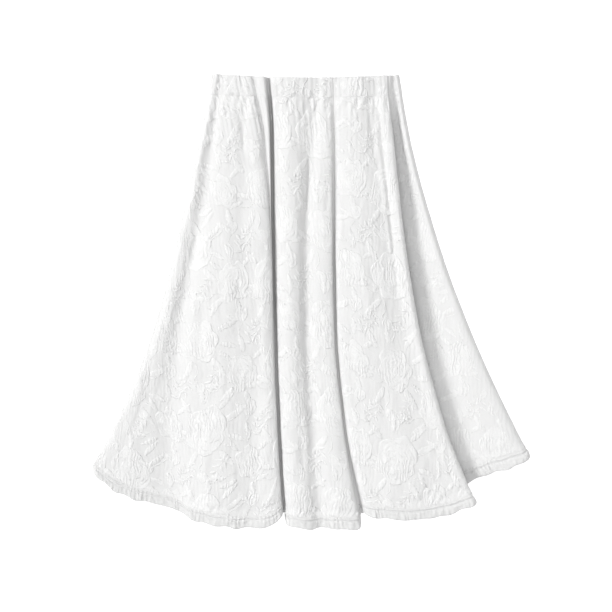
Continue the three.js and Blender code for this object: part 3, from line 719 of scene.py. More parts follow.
def rose(seed, rx, ry, table, n):
    r = np.random.default_rng(seed)
    th = np.linspace(0, 2 * math.pi, n, endpoint=False)
    edges = []
    for row in table:
        p = dict(zip(PETAL_COLUMNS, row))
        warp = th + 0.26 * np.sin(th + r.uniform(0, 6.3)) + 0.14 * np.sin(2 * th + r.uniform(0, 6.3))
        turns = p["petals"] * warp / (2 * math.pi) + r.uniform()
        cycle, which = turns % 1, np.floor(turns).astype(int) % p["petals"]
        size = r.uniform(0.90, 1.08, p["petals"])[which]
        arch = np.sin(math.pi * cycle) ** 0.5
        wave = (0.034 * np.sin(5 * th + r.uniform(0, 6.3)) + 0.026 * np.sin(8 * th + r.uniform(0, 6.3))
                + 0.022 * np.sin(11 * th + r.uniform(0, 6.3)) + 0.014 * np.sin(15 * th + r.uniform(0, 6.3)))
        lobe = 0.12 + 0.12 * p["rim"]
        # the cord round a petal comes and goes
        worn = np.clip(0.68 + 0.45 * np.sin(3 * th + r.uniform(0, 6.3)) + 0.40 * np.sin(7 * th + r.uniform(0, 6.3)), 0.2, 1.15)
        edges.append((p["rim"] * (1 - lobe + lobe * arch * size + wave), p["height"] * (0.60 + 0.50 * cycle) * (0.2 + 0.8 * arch) * worn))
    edges.append((np.full(n, 0.04), np.full(n, 0.6)))
    heart = np.array([0.10 * rx * math.cos(seed), 0.12 * ry])
    rings = []

    def ring(radius, height):
        x, y = rx * radius * np.cos(th), ry * radius * np.sin(th)
        inward = (1 - radius)
        rings.append(np.stack([x + heart[0] * inward, y + heart[1] * inward, height], -1))

    ring(edges[0][0] * 1.03, np.full(n, -0.25))
    for (a, height), (b, next_height) in zip(edges[:-1], edges[1:]):
        b = np.minimum(b, a * 0.93)
        phase = r.uniform(0, 6.3)
        for share, up in CONTOURS:
            drift = 0.10 * (b - a) * np.sin(6 * th + phase + 5 * share) * (0 < share < 0.8)
            ring(a + (b - a) * share + drift, 0.30 + (height + (next_height - height) * share) * up)
    ring(edges[-1][0], np.full(n, 0.65))
    return rings_to_motif(rings, (heart[0], heart[1], 0.6), -0.42)


def leaf(length, width, bend, veins, n=19, m=9):
    """A leaf from its stalk at the origin along +x."""
    t = np.linspace(0, 1, n)
    half = width / 2 * np.sin(math.pi * np.clip(0.02 + 0.97 * t ** 0.85, 0, 1)) ** 0.75 * (1 + 0.14 * np.sin(2 * math.pi * veins * t + bend * 9))
    q = np.linspace(-1, 1, m)
    T, Q = np.meshgrid(t, q, indexing="ij")
    H = half[:, None]
    x, y = length * T, bend * length * (T ** 2 - 0.3 * T) + Q * H
    vein = np.cos(2 * math.pi * (veins * T - 0.55 * np.abs(Q)))
    bold = 0.65 + 0.35 * np.sin(5 * T + 9 * bend)
    z = 0.30 + 0.12 * (1 - Q ** 2) + bold * 0.66 * np.clip(vein, -0.25, 1) * (np.abs(Q) < 0.95) + 0.30 * np.exp(-(Q / 0.16) ** 2)
    z[:, 0] = z[:, -1] = z[0, :] = z[-1, :] = -0.25
    top = np.stack([x, y, z], -1)
    verts = top.reshape(-1, 3)
    I, J = np.meshgrid(np.arange(n - 1), np.arange(m - 1), indexing="ij")
    k = I * m + J
    quads = np.stack([k, k + m, k + m + 1, k + 1], -1).reshape(-1, 4)
    low = top[:, m // 2].copy()
    low[:, 2] = -0.4
    b = len(verts)
    verts = np.concatenate([verts, low])
    i = np.arange(n - 1)
    quads = np.concatenate([quads, np.stack([i * m, b + i, b + i + 1, (i + 1) * m], -1),
                            np.stack([b + i, i * m + m - 1, (i + 1) * m + m - 1, b + i + 1], -1)])
    ends = []
    for row, flip in ((0, False), (n - 1, True)):
        for j in range(m - 1):
            ends.append((row * m + j, row * m + j + 1, b + row) if not flip else (row * m + j + 1, row * m + j, b + row))
    return verts, quads, np.array(ends)


def stem(points, width, height, step=3.0):
    """A low cord along a smooth curve through flat points."""
    p = np.array(points, float)
    p = np.concatenate([[2 * p[0] - p[1]], p, [2 * p[-1] - p[-2]]])
    path = []
    for i in range(1, len(p) - 2):
        for t in np.linspace(0, 1, 12, endpoint=False):
            a, b, c, d = p[i - 1], p[i], p[i + 1], p[i + 2]
            path.append(0.5 * (2 * b + (c - a) * t + (2 * a - 5 * b + 4 * c - d) * t * t + (3 * b - a - 3 * c + d) * t ** 3))
    path = np.array(path + [p[-2]])
    size = np.concatenate([[0], np.cumsum(np.linalg.norm(np.diff(path, axis=0), axis=1))])
    n = max(4, int(size[-1] / step))
    at = np.linspace(0, size[-1], n)
    path = np.stack([np.interp(at, size, path[:, c]) for c in range(2)], -1)
    way = np.gradient(path, axis=0)
    side = np.stack([-way[:, 1], way[:, 0]], -1) / np.linalg.norm(way, axis=1)[:, None]
    w = width / 2 * (0.75 + 0.25 * np.sin(at / 9.0)) * np.clip(np.minimum(at + 1.2, at[-1] - at + 1.2) / 5, 0.3, 1)
    section = [(-1.0, -0.25), (-0.55, height), (0.55, height), (1.0, -0.25), (0.0, -0.4)]
    verts = np.concatenate([np.concatenate([path + side * (w * q)[:, None], np.full((n, 1), h)], 1) for q, h in section])
    quads = []
    for a in range(5):
        b = (a + 1) % 5
        i = np.arange(n - 1)
        quads.append(np.stack([a * n + i, a * n + i + 1, b * n + i + 1, b * n + i], -1))
    cap = [(0, n, 2 * n), (0, 2 * n, 3 * n), (0, 3 * n, 4 * n)]
    tris = [c for c in cap] + [tuple(v + n - 1 for v in c[::-1]) for c in cap]
    return verts, np.concatenate(quads)[:, ::-1], np.array(tris)[:, ::-1]


# The lace's repeat, charted in millimetres of flat cloth: y runs down the skirt. Every other column of
# repeats lies half a repeat lower.
REPEAT_WIDE, REPEAT_HIGH = 124.0, 138.0
ROSE_COLUMNS = ["x", "y", "rx", "ry", "turn", "kind"]
REPEAT_ROSES = [
    [36,  46, 29.0, 36.0,   8, 0],
    [96, 104, 22.5, 28.5, -14, 1],
]
REPEAT_BUDS = [
    [106, 22, 9.0, 11.0,  20, 2],
    [28, 116, 8.0, 10.0, -30, 3],
]
LEAF_COLUMNS = ["x", "y", "turn", "length", "width", "bend", "veins"]
REPEAT_LEAVES = [
    [14,  18,  232, 30, 10,  0.18, 5],
    [32,   9,  276, 25,  9, -0.15, 4],
    [55,  17,  312, 31, 10,  0.16, 5],
    [64,  34,  342, 36, 11, -0.20, 6],
    [66,  60,   18, 27,  9,  0.20, 4],
    [52,  78,   62, 34, 12, -0.16, 6],
    [20,  78,  118, 33, 11,  0.18, 5],
    [4,   60,  162, 24,  9, -0.20, 4],
    [80,  84,  222, 26,  9,  0.16, 4],
    [98,  74,  268, 28, 10, -0.18, 5],
    [116, 88,  326, 26,  9,  0.15, 4],
    [118,118,   28, 30, 10,  0.18, 5],
    [100,134,   84, 28, 10, -0.16, 5],
    [78, 128,  142, 30, 11,  0.20, 5],
    [98,  26,  196, 22,  8,  0.20, 4],
    [36, 120,   12, 22,  9, -0.20, 4],
]
STEM_COLUMNS = ["width", "height", "points"]
REPEAT_STEMS = [
    [2.4, 0.55, [(60, 72), (74, 78), (82, 86)]],
    [2.4, 0.55, [(24, 80), (26, 96), (20, 106), (28, 112)]],
    [2.2, 0.50, [(64, 40), (80, 34), (92, 26), (102, 24)]],
    [2.2, 0.50, [(96, 76), (102, 60), (96, 46), (104, 34)]],
    [2.2, 0.50, [(38, 122), (52, 128), (64, 120), (76, 118)]],
    [2.0, 0.50, [(112, 124), (122, 136), (136, 140), (146, 132)]],
    [2.0, 0.50, [(34, 8), (40, -8), (34, -20), (28, -26)]],
]
# Sprays: a stalk with pairs of small narrow leaves
SPRAY_COLUMNS = ["points", "pairs", "leaf", "wide"]
REPEAT_SPRAYS = [
    [[(64, 92), (54, 102), (46, 114), (50, 126)], 4, 15.5, 5.2],
    [[(118, 70), (112, 56), (116, 44), (124, 36)], 4, 15.0, 5.0],
    [[(0, 96), (8, 104), (8, 118), (0, 128)], 4, 14.0, 4.8],
]


def turned(verts, x, y, degrees):
    a = math.radians(degrees)
    c, s = math.cos(a), math.sin(a)
    out = verts.copy()
    out[:, 0], out[:, 1] = x + c * verts[:, 0] - s * verts[:, 1], y + s * verts[:, 0] + c * verts[:, 1]
    return out


def joined(parts):
    verts, quads, tris, at = [], [], [], 0
    for v, q, t in parts:
        verts.append(v)
        quads.append(np.asarray(q).reshape(-1, 4) + at)
        tris.append(np.asarray(t).reshape(-1, 3) + at)
        at += len(v)
    return np.concatenate(verts), np.concatenate(quads), np.concatenate(tris)


def repeat_of(rose_n, bud_n, leaf_n, leaf_m, spray_n, variant):
    """One repeat as worked: no two workings of the chart lie quite alike."""
    roses, leaves = [], []
    hand = np.random.default_rng(100 + variant)

    def near_(row, places=3.0, degrees=12.0, scale=0.10):
        r = dict(row)
        k = 1 + hand.uniform(-scale, scale)
        r["x"] += hand.uniform(-places, places)
        r["y"] += hand.uniform(-places, places)
        r["turn"] += hand.uniform(-degrees, degrees)
        for key in ("rx", "ry", "length", "width"):
            if key in r:
                r[key] *= k
        return r

    for row in REPEAT_ROSES:
        r = near_(zip(ROSE_COLUMNS, row), 4.0, 40.0, 0.12)
        v, q, t = rose(r["kind"] + 5 + 10 * variant, r["rx"], r["ry"], ROSE_PETALS, rose_n)
        roses.append((turned(v, r["x"], r["y"], r["turn"]), q, t))
    for row in REPEAT_BUDS:
        r = near_(zip(ROSE_COLUMNS, row))
        v, q, t = rose(r["kind"] + 5 + 10 * variant, r["rx"], r["ry"], BUD_PETALS, bud_n)
        roses.append((turned(v, r["x"], r["y"], r["turn"]), q, t))
    for row in REPEAT_LEAVES:
        r = near_(zip(LEAF_COLUMNS, row))
        v, q, t = leaf(r["length"], r["width"], r["bend"], r["veins"], leaf_n, leaf_m)
        leaves.append((turned(v, r["x"], r["y"], r["turn"]), q, t))
    for row in REPEAT_STEMS:
        r = dict(zip(STEM_COLUMNS, row))
        leaves.append(stem(r["points"], r["width"], r["height"]))
    for row in REPEAT_SPRAYS:
        r = dict(zip(SPRAY_COLUMNS, row))
        leaves.append(stem(r["points"], 1.8, 0.5))
        p = np.array(r["points"], float)
        for k in range(r["pairs"]):
            t = (k + 0.4) / r["pairs"] * (len(p) - 1)
            i = min(int(t), len(p) - 2)
            at, way = p[i] + (p[i + 1] - p[i]) * (t - i), p[i + 1] - p[i]
            along = math.degrees(math.atan2(way[1], way[0]))
            small = 1 - 0.35 * k / r["pairs"]
            for side in (-1, 1):
                v, q, tr = leaf(r["leaf"] * small, r["wide"], 0.12 * side, 1, spray_n, 5)
                leaves.append((turned(v, at[0], at[1], along + side * 46), q, tr))
    return joined(roses), joined(leaves)


# Where a motif's hidden underside is tested against the cloth: shares of each face's corners
UNDER_QUADS = [[0.25, 0.25, 0.25, 0.25], [0.15, 0.15, 0.35, 0.35], [0.0, 0.0, 0.5, 0.5], [0.35, 0.35, 0.15, 0.15], [0.0, 0.5, 0.5, 0.0]]
UNDER_TRIS = [[0.34, 0.33, 0.33], [0.5, 0.5, 0.0], [0.5, 0.0, 0.5], [0.0, 0.5, 0.5], [0.6, 0.2, 0.2], [0.2, 0.2, 0.6], [0.2, 0.6, 0.2]]


def stands_clear(ground, p, x, y, faces, shares):
    """Which hidden faces would bridge a narrow fold and stand above its cloth."""
    clear = np.zeros(len(faces), bool)
    for share in shares:
        w = np.array(share)
        at_x, at_y, here = (x[faces] * w).sum(axis=1), (y[faces] * w).sum(axis=1), (p[faces] * w[:, None]).sum(axis=1)
        on = ground.place(at_x, at_y, np.zeros(len(faces)))[0]
        up = on - ground.place(at_x, at_y, -np.ones(len(faces)))[0]
        clear |= ((here - on) * up).sum(axis=1) > -0.02
    return clear


def lay_lace(ground, reach_x, reach_y, name, motifs, shift, slot, material):
    """Repeats of the motifs over a whole panel, cut off at its edges."""
    wide, (low, high) = reach_x, reach_y
    all_v, all_q, all_t, all_uv, at = [], [], [], [], 0
    for c in range(-int(wide / REPEAT_WIDE) - 3, int(wide / REPEAT_WIDE) + 3):
        for r in range(-3, int(high / REPEAT_HIGH) + 3):
            ox = c * REPEAT_WIDE + shift[0]
            oy = r * REPEAT_HIGH + (c % 2) * REPEAT_HIGH / 2 + shift[1]
            verts, quads, tris = motifs[(c + 2 * r + 30) % len(motifs)]
            x, y = verts[:, 0] + ox, verts[:, 1] + oy
            if x.max() < -wide or x.min() > wide or y.max() < low or y.min() > high:
                continue
            p, off = ground.place(x, y, verts[:, 2])
            keep_q = np.bitwise_and.reduce(off[quads], axis=1) == 0
            keep_t = np.bitwise_and.reduce(off[tris], axis=1) == 0
            if not keep_q.any():
                continue
            for faces, keep, shares in ((quads, keep_q, UNDER_QUADS), (tris, keep_t, UNDER_TRIS)):
                under = np.flatnonzero(keep & (verts[faces, 2] <= 0).all(axis=1))
                keep[under[stands_clear(ground, p, x, y, faces[under], shares)]] = False
            used = np.zeros(len(verts), bool)
            used[quads[keep_q].ravel()] = True
            used[tris[keep_t].ravel()] = True
            new = np.cumsum(used) - 1 + at
            all_v.append(p[used])
            all_q.append(new[quads[keep_q]][:, ::-1])
            all_t.append(new[tris[keep_t]][:, ::-1])
            all_uv.append(np.stack([x, y], -1)[used] / 1000)
            at += int(used.sum())
    v = np.concatenate(all_v)
    v[:, 2] = np.maximum(v[:, 2], 0.0)
    obj = mesh_object(name, v, np.concatenate(all_q), np.concatenate(all_t), np.concatenate(all_uv), material, slot)
    print(name, "triangles", 2 * sum(map(len, all_q)) + sum(map(len, all_t)))
    return obj


# ---- materials ----
# the grey that the painted fold shade darkens the cloth towards
PAINTED_SHADE_GREY = 0.43


def shader(name, colour, dark, rough, sheen):
    """A cloth shader: two near colours, mixed by a tone that the caller links in, and a bump that the caller adds."""
    m = bpy.data.materials.new(name)
    m.use_nodes = True
    tree = m.node_tree
    bsdf = tree.nodes["Principled BSDF"]
    bsdf.inputs["Roughness"].default_value = rough
    bsdf.inputs["Sheen Weight"].default_value = sheen
    bsdf.inputs["Sheen Roughness"].default_value = 0.45
    bsdf.inputs["Specular IOR Level"].default_value = 0.22
    mix = tree.nodes.new("ShaderNodeMix")
    mix.data_type = "RGBA"
    mix.inputs[6].default_value = (*dark, 1)
    mix.inputs[7].default_value = (*colour, 1)
    # painted shade: the white is darkened towards a grey by the fold depth between the folds, standing in for the shade
    # there
    deep = tree.nodes.new("ShaderNodeAttribute")
    deep.attribute_name = "painted_fold_shade"
    tone = tree.nodes.new("ShaderNodeMix")
    tone.data_type = "RGBA"
    tone.inputs[7].default_value = (PAINTED_SHADE_GREY, PAINTED_SHADE_GREY, PAINTED_SHADE_GREY, 1)
    tree.links.new(deep.outputs["Fac"], tone.inputs[0])
    tree.links.new(mix.outputs[2], tone.inputs[6])
    tree.links.new(tone.outputs[2], bsdf.inputs["Base Color"])
    uv = tree.nodes.new("ShaderNodeUVMap")
    uv.uv_map = "cloth"
    return m, tree, bsdf, mix, uv


def node(tree, kind, **inputs):
    n = tree.nodes.new(kind)
    for key, value in inputs.items():
        if key.startswith("_"):
            setattr(n, key[1:], value)
        else:
            n.inputs[key.replace("__", " ")].default_value = value
    return n


def maths(tree, operation, a, b=None):
    n = tree.nodes.new("ShaderNodeMath")
    n.operation = operation
    for i, v in enumerate((a, b)):
        if v is None:
            continue
        if isinstance(v, (int, float)):
            n.inputs[i].default_value = v
        else:
            tree.links.new(v, n.inputs[i])
    return n.outputs[0]


def wavy(tree, uv, spacing, long_by, distortion, patch_size, least, seed):
    """Wavy ridges about spacing metres apart that run down the cloth, strong in some patches and faint in others.
    Returns the ridges, 0 to 1, and how strong they are there, least to 1."""
    lay = node(tree, "ShaderNodeMapping")
    lay.inputs["Scale"].default_value = (1.0, 1.0 / long_by, 1.0)
    lay.inputs["Location"].default_value = (seed, seed * 0.7, 0.0)
    tree.links.new(uv.outputs["UV"], lay.inputs["Vector"])
    wave = node(tree, "ShaderNodeTexWave", Scale=0.314 / spacing, Distortion=distortion, Detail=2.5)
    wave.inputs["Detail Scale"].default_value = 1.3
    wave.inputs["Detail Roughness"].default_value = 0.55
    tree.links.new(lay.outputs["Vector"], wave.inputs["Vector"])
    patch = node(tree, "ShaderNodeTexNoise", Scale=1 / patch_size, Detail=2.0)
    tree.links.new(lay.outputs["Vector"], patch.inputs["Vector"])
    strong = node(tree, "ShaderNodeMapRange", _interpolation_type="SMOOTHSTEP")
    strong.inputs["From Min"].default_value, strong.inputs["From Max"].default_value = 0.42, 0.60
    strong.inputs["To Min"].default_value, strong.inputs["To Max"].default_value = least, 1.0
    tree.links.new(patch.outputs["Fac"], strong.inputs["Value"])
    return wave.outputs["Fac"], strong.outputs["Result"]


def near_waist(tree, uv, reach):
    """1 at the waist seam, falling to 0 reach metres down the cloth."""
    split = node(tree, "ShaderNodeSeparateXYZ")
    tree.links.new(uv.outputs["UV"], split.inputs[0])
    fall = node(tree, "ShaderNodeMapRange", _interpolation_type="SMOOTHSTEP")
    fall.inputs["From Min"].default_value, fall.inputs["From Max"].default_value = 0.0, reach
    fall.inputs["To Min"].default_value, fall.inputs["To Max"].default_value = 1.0, 0.0
    tree.links.new(split.outputs["Y"], fall.inputs["Value"])
    return fall.outputs["Result"]


def raised(tree, bsdf, last, height, distance):
    """A bump of height on top of what the last bump gives."""
    bump = node(tree, "ShaderNodeBump", Strength=1.0, Distance=distance)
    tree.links.new(height, bump.inputs["Height"])
    if last is not None:
        tree.links.new(last, bump.inputs["Normal"])
    tree.links.new(bump.outputs["Normal"], bsdf.inputs["Normal"])
    return bump.outputs["Normal"]


def net_material(name, colour, dark, cell, net, sheen=0.25, rough=0.8, wrinkle=0.0004, waves=0.00016, waist=0.0):
    """Fine net or woven cloth: cells about cell metres wide with raised threads round them."""
    m, tree, bsdf, mix, uv = shader(name, colour, dark, rough, sheen)
    stretch = node(tree, "ShaderNodeMapping")
    stretch.inputs["Scale"].default_value = (1.0, 0.8, 1.0)
    tree.links.new(uv.outputs["UV"], stretch.inputs["Vector"])
    holes = node(tree, "ShaderNodeTexVoronoi", _feature="DISTANCE_TO_EDGE", Scale=1 / cell, Randomness=0.25)
    tree.links.new(stretch.outputs["Vector"], holes.inputs["Vector"])
    thread = node(tree, "ShaderNodeMapRange", _interpolation_type="SMOOTHSTEP")
    tree.links.new(holes.outputs["Distance"], thread.inputs["Value"])
    thread.inputs["From Min"].default_value, thread.inputs["From Max"].default_value = 0.04, 0.30
    thread.inputs["To Min"].default_value, thread.inputs["To Max"].default_value = 1.0, 1.0 - net
    patch = node(tree, "ShaderNodeTexNoise", Scale=46.0, Detail=4.0, Roughness=0.6, Distortion=0.5)
    long_ = node(tree, "ShaderNodeMapping")
    long_.inputs["Scale"].default_value = (1.0, 0.55, 1.0)
    tree.links.new(uv.outputs["UV"], long_.inputs["Vector"])
    tree.links.new(long_.outputs["Vector"], patch.inputs["Vector"])
    speck = node(tree, "ShaderNodeTexNoise", Scale=900.0, Detail=2.0)
    tree.links.new(uv.outputs["UV"], speck.inputs["Vector"])
    tone = maths(tree, "MULTIPLY", thread.outputs["Result"],
                 maths(tree, "ADD", 0.30, maths(tree, "ADD", maths(tree, "MULTIPLY", patch.outputs["Fac"], 1.0),
                                                maths(tree, "MULTIPLY", speck.outputs["Fac"], 0.26))))
    ridge, strong = wavy(tree, uv, 0.0064, 2.0, 7.0, 0.045, 0.15, 0.31)
    tone = maths(tree, "ADD", tone, maths(tree, "MULTIPLY", maths(tree, "MULTIPLY", maths(tree, "SUBTRACT", ridge, 0.5), strong), 0.35))
    tree.links.new(tone, mix.inputs[0])
    crease = node(tree, "ShaderNodeTexNoise", Scale=210.0, Detail=4.0, Roughness=0.6, Distortion=0.6)
    squash = node(tree, "ShaderNodeMapping")
    squash.inputs["Scale"].default_value = (1.0, 0.45, 1.0)
    tree.links.new(uv.outputs["UV"], squash.inputs["Vector"])
    tree.links.new(squash.outputs["Vector"], crease.inputs["Vector"])
    low = node(tree, "ShaderNodeBump", Strength=1.0, Distance=wrinkle)
    tree.links.new(crease.outputs["Fac"], low.inputs["Height"])
    high = node(tree, "ShaderNodeBump", Strength=0.9, Distance=0.00018)
    tree.links.new(thread.outputs["Result"], high.inputs["Height"])
    tree.links.new(low.outputs["Normal"], high.inputs["Normal"])
    last = raised(tree, bsdf, high.outputs["Normal"], maths(tree, "MULTIPLY", ridge, strong), waves)
    if waist:
        gathered_up, mask = wavy(tree, uv, 0.0085, 6.0, 4.5, 0.05, 0.3, 0.77)
        raised(tree, bsdf, last, maths(tree, "MULTIPLY", maths(tree, "MULTIPLY", gathered_up, mask), near_waist(tree, uv, waist)), 0.0006)
    return m


def satin_material(name, colour, dark, sheen=0.35, rough=0.6, waves=0.00042, waist=0.0):
    """Raised lace: close fine threads, slightly shinier than the net, with uneven stitches."""
    m, tree, bsdf, mix, uv = shader(name, colour, dark, rough, sheen)
    turn = node(tree, "ShaderNodeMapping")
    turn.inputs["Rotation"].default_value = (0, 0, 0.5)
    tree.links.new(uv.outputs["UV"], turn.inputs["Vector"])
    wave = node(tree, "ShaderNodeTexWave", Scale=620.0, Distortion=5.0, Detail=2.0)
    wave.inputs["Detail Scale"].default_value = 2.0
    tree.links.new(turn.outputs["Vector"], wave.inputs["Vector"])
    patch = node(tree, "ShaderNodeTexNoise", Scale=60.0, Detail=3.0)
    tree.links.new(uv.outputs["UV"], patch.inputs["Vector"])
    tone = maths(tree, "ADD", 0.18, maths(tree, "ADD", maths(tree, "MULTIPLY", patch.outputs["Fac"], 0.7),
                                         maths(tree, "MULTIPLY", wave.outputs["Fac"], 0.35)))
    ridge, strong = wavy(tree, uv, 0.0052, 1.5, 10.0, 0.030, 0.15, 0.0)
    tone = maths(tree, "ADD", tone, maths(tree, "MULTIPLY", maths(tree, "MULTIPLY", maths(tree, "SUBTRACT", ridge, 0.5), strong), 0.75))
    tree.links.new(tone, mix.inputs[0])
    lump = node(tree, "ShaderNodeTexNoise", Scale=420.0, Detail=3.0, Roughness=0.6)
    tree.links.new(uv.outputs["UV"], lump.inputs["Vector"])
    low = node(tree, "ShaderNodeBump", Strength=1.0, Distance=0.00028)
    tree.links.new(lump.outputs["Fac"], low.inputs["Height"])
    high = node(tree, "ShaderNodeBump", Strength=0.6, Distance=0.00010)
    tree.links.new(wave.outputs["Fac"], high.inputs["Height"])
    tree.links.new(low.outputs["Normal"], high.inputs["Normal"])
    last = raised(tree, bsdf, high.outputs["Normal"], maths(tree, "MULTIPLY", ridge, strong), waves)
    if waist:
        gathered_up, mask = wavy(tree, uv, 0.0085, 6.0, 4.5, 0.05, 0.3, 0.77)
        raised(tree, bsdf, last, maths(tree, "MULTIPLY", maths(tree, "MULTIPLY", gathered_up, mask), near_waist(tree, uv, waist)), 0.0006)
    return m


ground = net_material("lace_ground", (0.710, 0.710, 0.707), (0.62, 0.62, 0.62), 0.0017, 0.35, waist=0.12)
satin = satin_material("lace_motifs", (0.775, 0.775, 0.772), (0.64, 0.64, 0.64), waist=0.12)
gathered = net_material("gathered_cloth", (0.70, 0.70, 0.697), (0.62, 0.62, 0.62), 0.0012, 0.35, waist=0.12)
faced = net_material("hem_cloth", (0.685, 0.685, 0.682), (0.59, 0.59, 0.59), 0.0012, 0.35, wrinkle=0.0008, waves=0.0006)
thread = satin_material("thread", (0.70, 0.70, 0.697), (0.64, 0.64, 0.64), 0.2, 0.55, waves=0.0)

# ---- the two panels and their lace ----
front_cloth = Panel("front_cloth", 0, SIDE, (400, 205, 200, 69), FRONT_CREASES, FRONT_GATHERS, 1.0, 0.0, False)
back_cloth = Panel("back_cloth", SIDE, len(LOOP), (260, 112, 130, 44), BACK_CREASES, FRONT_GATHERS, 0.7, 900.0, True)
# painted shade: the front cloth's fold heights give the mask that darkens the front pieces' colour between folds
folds.append(PaintedFoldShade(front_cloth.mid))
front_obj = mesh_object("front_cloth", *front_cloth.mesh, front_cloth.uv, ground, "lace_cloth", 60)
back_obj = mesh_object("back_cloth", *back_cloth.mesh, back_cloth.uv, ground, "lace_cloth", 60)
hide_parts("front_panel")
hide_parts("back_panel")

fine_roses, fine_leaves = zip(*[repeat_of(48, 22, 17, 7, 7, k) for k in range(3)])
plain_roses, plain_leaves = zip(*[repeat_of(18, 10, 8, 5, 4, k) for k in range(3)])
front_roses = lay_lace(front_cloth.ground, front_cloth.reach_x, front_cloth.reach_y, "front_lace_roses", fine_roses, (-18, 12), "lace_cloth", satin)
front_leaves = lay_lace(front_cloth.ground, front_cloth.reach_x, front_cloth.reach_y, "front_lace_leaves", fine_leaves, (-18, 12), "lace_cloth", satin)
back_roses = lay_lace(back_cloth.ground, back_cloth.reach_x, back_cloth.reach_y, "back_lace_roses", plain_roses, (30, 40), "lace_cloth", satin)
back_leaves = lay_lace(back_cloth.ground, back_cloth.reach_x, back_cloth.reach_y, "back_lace_leaves", plain_leaves, (30, 40), "lace_cloth", satin)


# ---- waist casing: one gathered ring ----
def ring_grid(nu, ns):
    start, end = top_edge, casing_foot
    us = spread(0, len(RING), nu, RING, start, end, closed=True)
    ss = np.linspace(0, 1, ns)
    mid, out = surface(us, ss, RING, start, end)
    along = np.concatenate([[0], np.cumsum(np.linalg.norm(np.diff(mid[:, ns // 2], axis=0), axis=-1))])
    return us, ss, mid, out, along[:, None]


us, ss, mid, out, along = ring_grid(760, 30)
s = ss[None, :]
round_ = 2 * math.pi / (along[-1] + 1.0)
lean = 2.2 * np.sin(5 * round_ * along + 1.0) * s
# uneven gathers of the elastic, which repeat all the way round
tucks = sum(a * np.sin(k * round_ * (along + lean) + p + 1.6 * np.sin(3 * round_ * along + q))
            for a, k, p, q in [(0.26, 37, 0.3, 0.0), (0.22, 53, 1.9, 1.0), (0.18, 71, 4.0, 2.0), (0.22, 22, 2.2, 3.0), (0.12, 101, 5.1, 4.0)])
tucks = tucks * (0.35 + 0.65 * fade(0.5 + 0.9 * np.sin(4 * round_ * along + 0.7) + 0.4 * np.sin(7 * round_ * along)))
calm = line_value(us, RING, [max(0.35, l.calm) for l in RING])[:, None]
upper = mid[..., 2] > 3.2
sewn = np.exp(-((s * CASING - (CASING - 3.0)) / 1.3) ** 2)
fold = np.sqrt(np.clip(1 - ((1.6 - s * CASING) / 1.6).clip(0, 1) ** 2, 0, 1))
puff = 0.08 * np.sin(math.pi * s) ** 0.5
rise = (tucks * (0.6 + 0.4 * s) + puff ) * calm
outer = mid + out * (((0.75 - 0.4 * fade((s * CASING - 24) / 8)) * fold + rise * fold * fade((CASING - s * CASING) / 4.0)))[..., None]
outer[..., 1] += (0.7 * tucks[..., :] * np.exp(-s * CASING / 3.0))          # the top edge is a little frilled
inner = mid + out * (-0.8 * fold + 0.3 * rise * fold)[..., None]
outer[..., 2], inner[..., 2] = np.maximum(outer[..., 2], 0.02), np.maximum(inner[..., 2], 0.5)
rows = np.unique(np.round(np.linspace(0, len(ss) - 1, 9)).astype(int))
inner, inner_s = inner[:, rows], ss[rows]
pick = np.arange(0, len(us), 2)
casing_uv = np.stack([along + 0 * s, 0 * along + s * CASING], -1) / 1000
casing_uv = np.concatenate([casing_uv.reshape(-1, 2), casing_uv[np.ix_(pick, rows)].reshape(-1, 2)])
casing_obj = mesh_object("waist_gathers", *shell(outer, us, ss, inner[pick], us[pick], inner_s, closed=True), casing_uv, gathered, "gathered_cloth", 60)
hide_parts("waist_casing")
casing_outer, casing_normal = outer, grid_normals(outer)
n_front = int(np.searchsorted(us, SIDE)) + 1
for side, cloth, columns, motifs, shift in (("front", front_cloth, slice(0, n_front), (fine_roses, fine_leaves), (-18, 12)),
                                            ("back", back_cloth, slice(n_front - 1, len(us)), (plain_roses, plain_leaves), (30, 40))):
    grid = outer[columns]
    way = np.concatenate([np.zeros((1, len(ss))), np.cumsum(np.linalg.norm(np.diff(mid[columns], axis=0), axis=-1), axis=0)])
    ground_ = Ground(grid, way / way[-1], ss, calm[columns, 0], cloth.radius, cloth.angle, -CASING - 1.0, CASING + 1.0)
    for motif, kind in zip(motifs, ("roses", "leaves")):
        lay_lace(ground_, cloth.reach_x * 0.5, (-CASING - 1.0, 60.0), side + "_waist_" + kind, motif, shift, "gathered_cloth", satin)


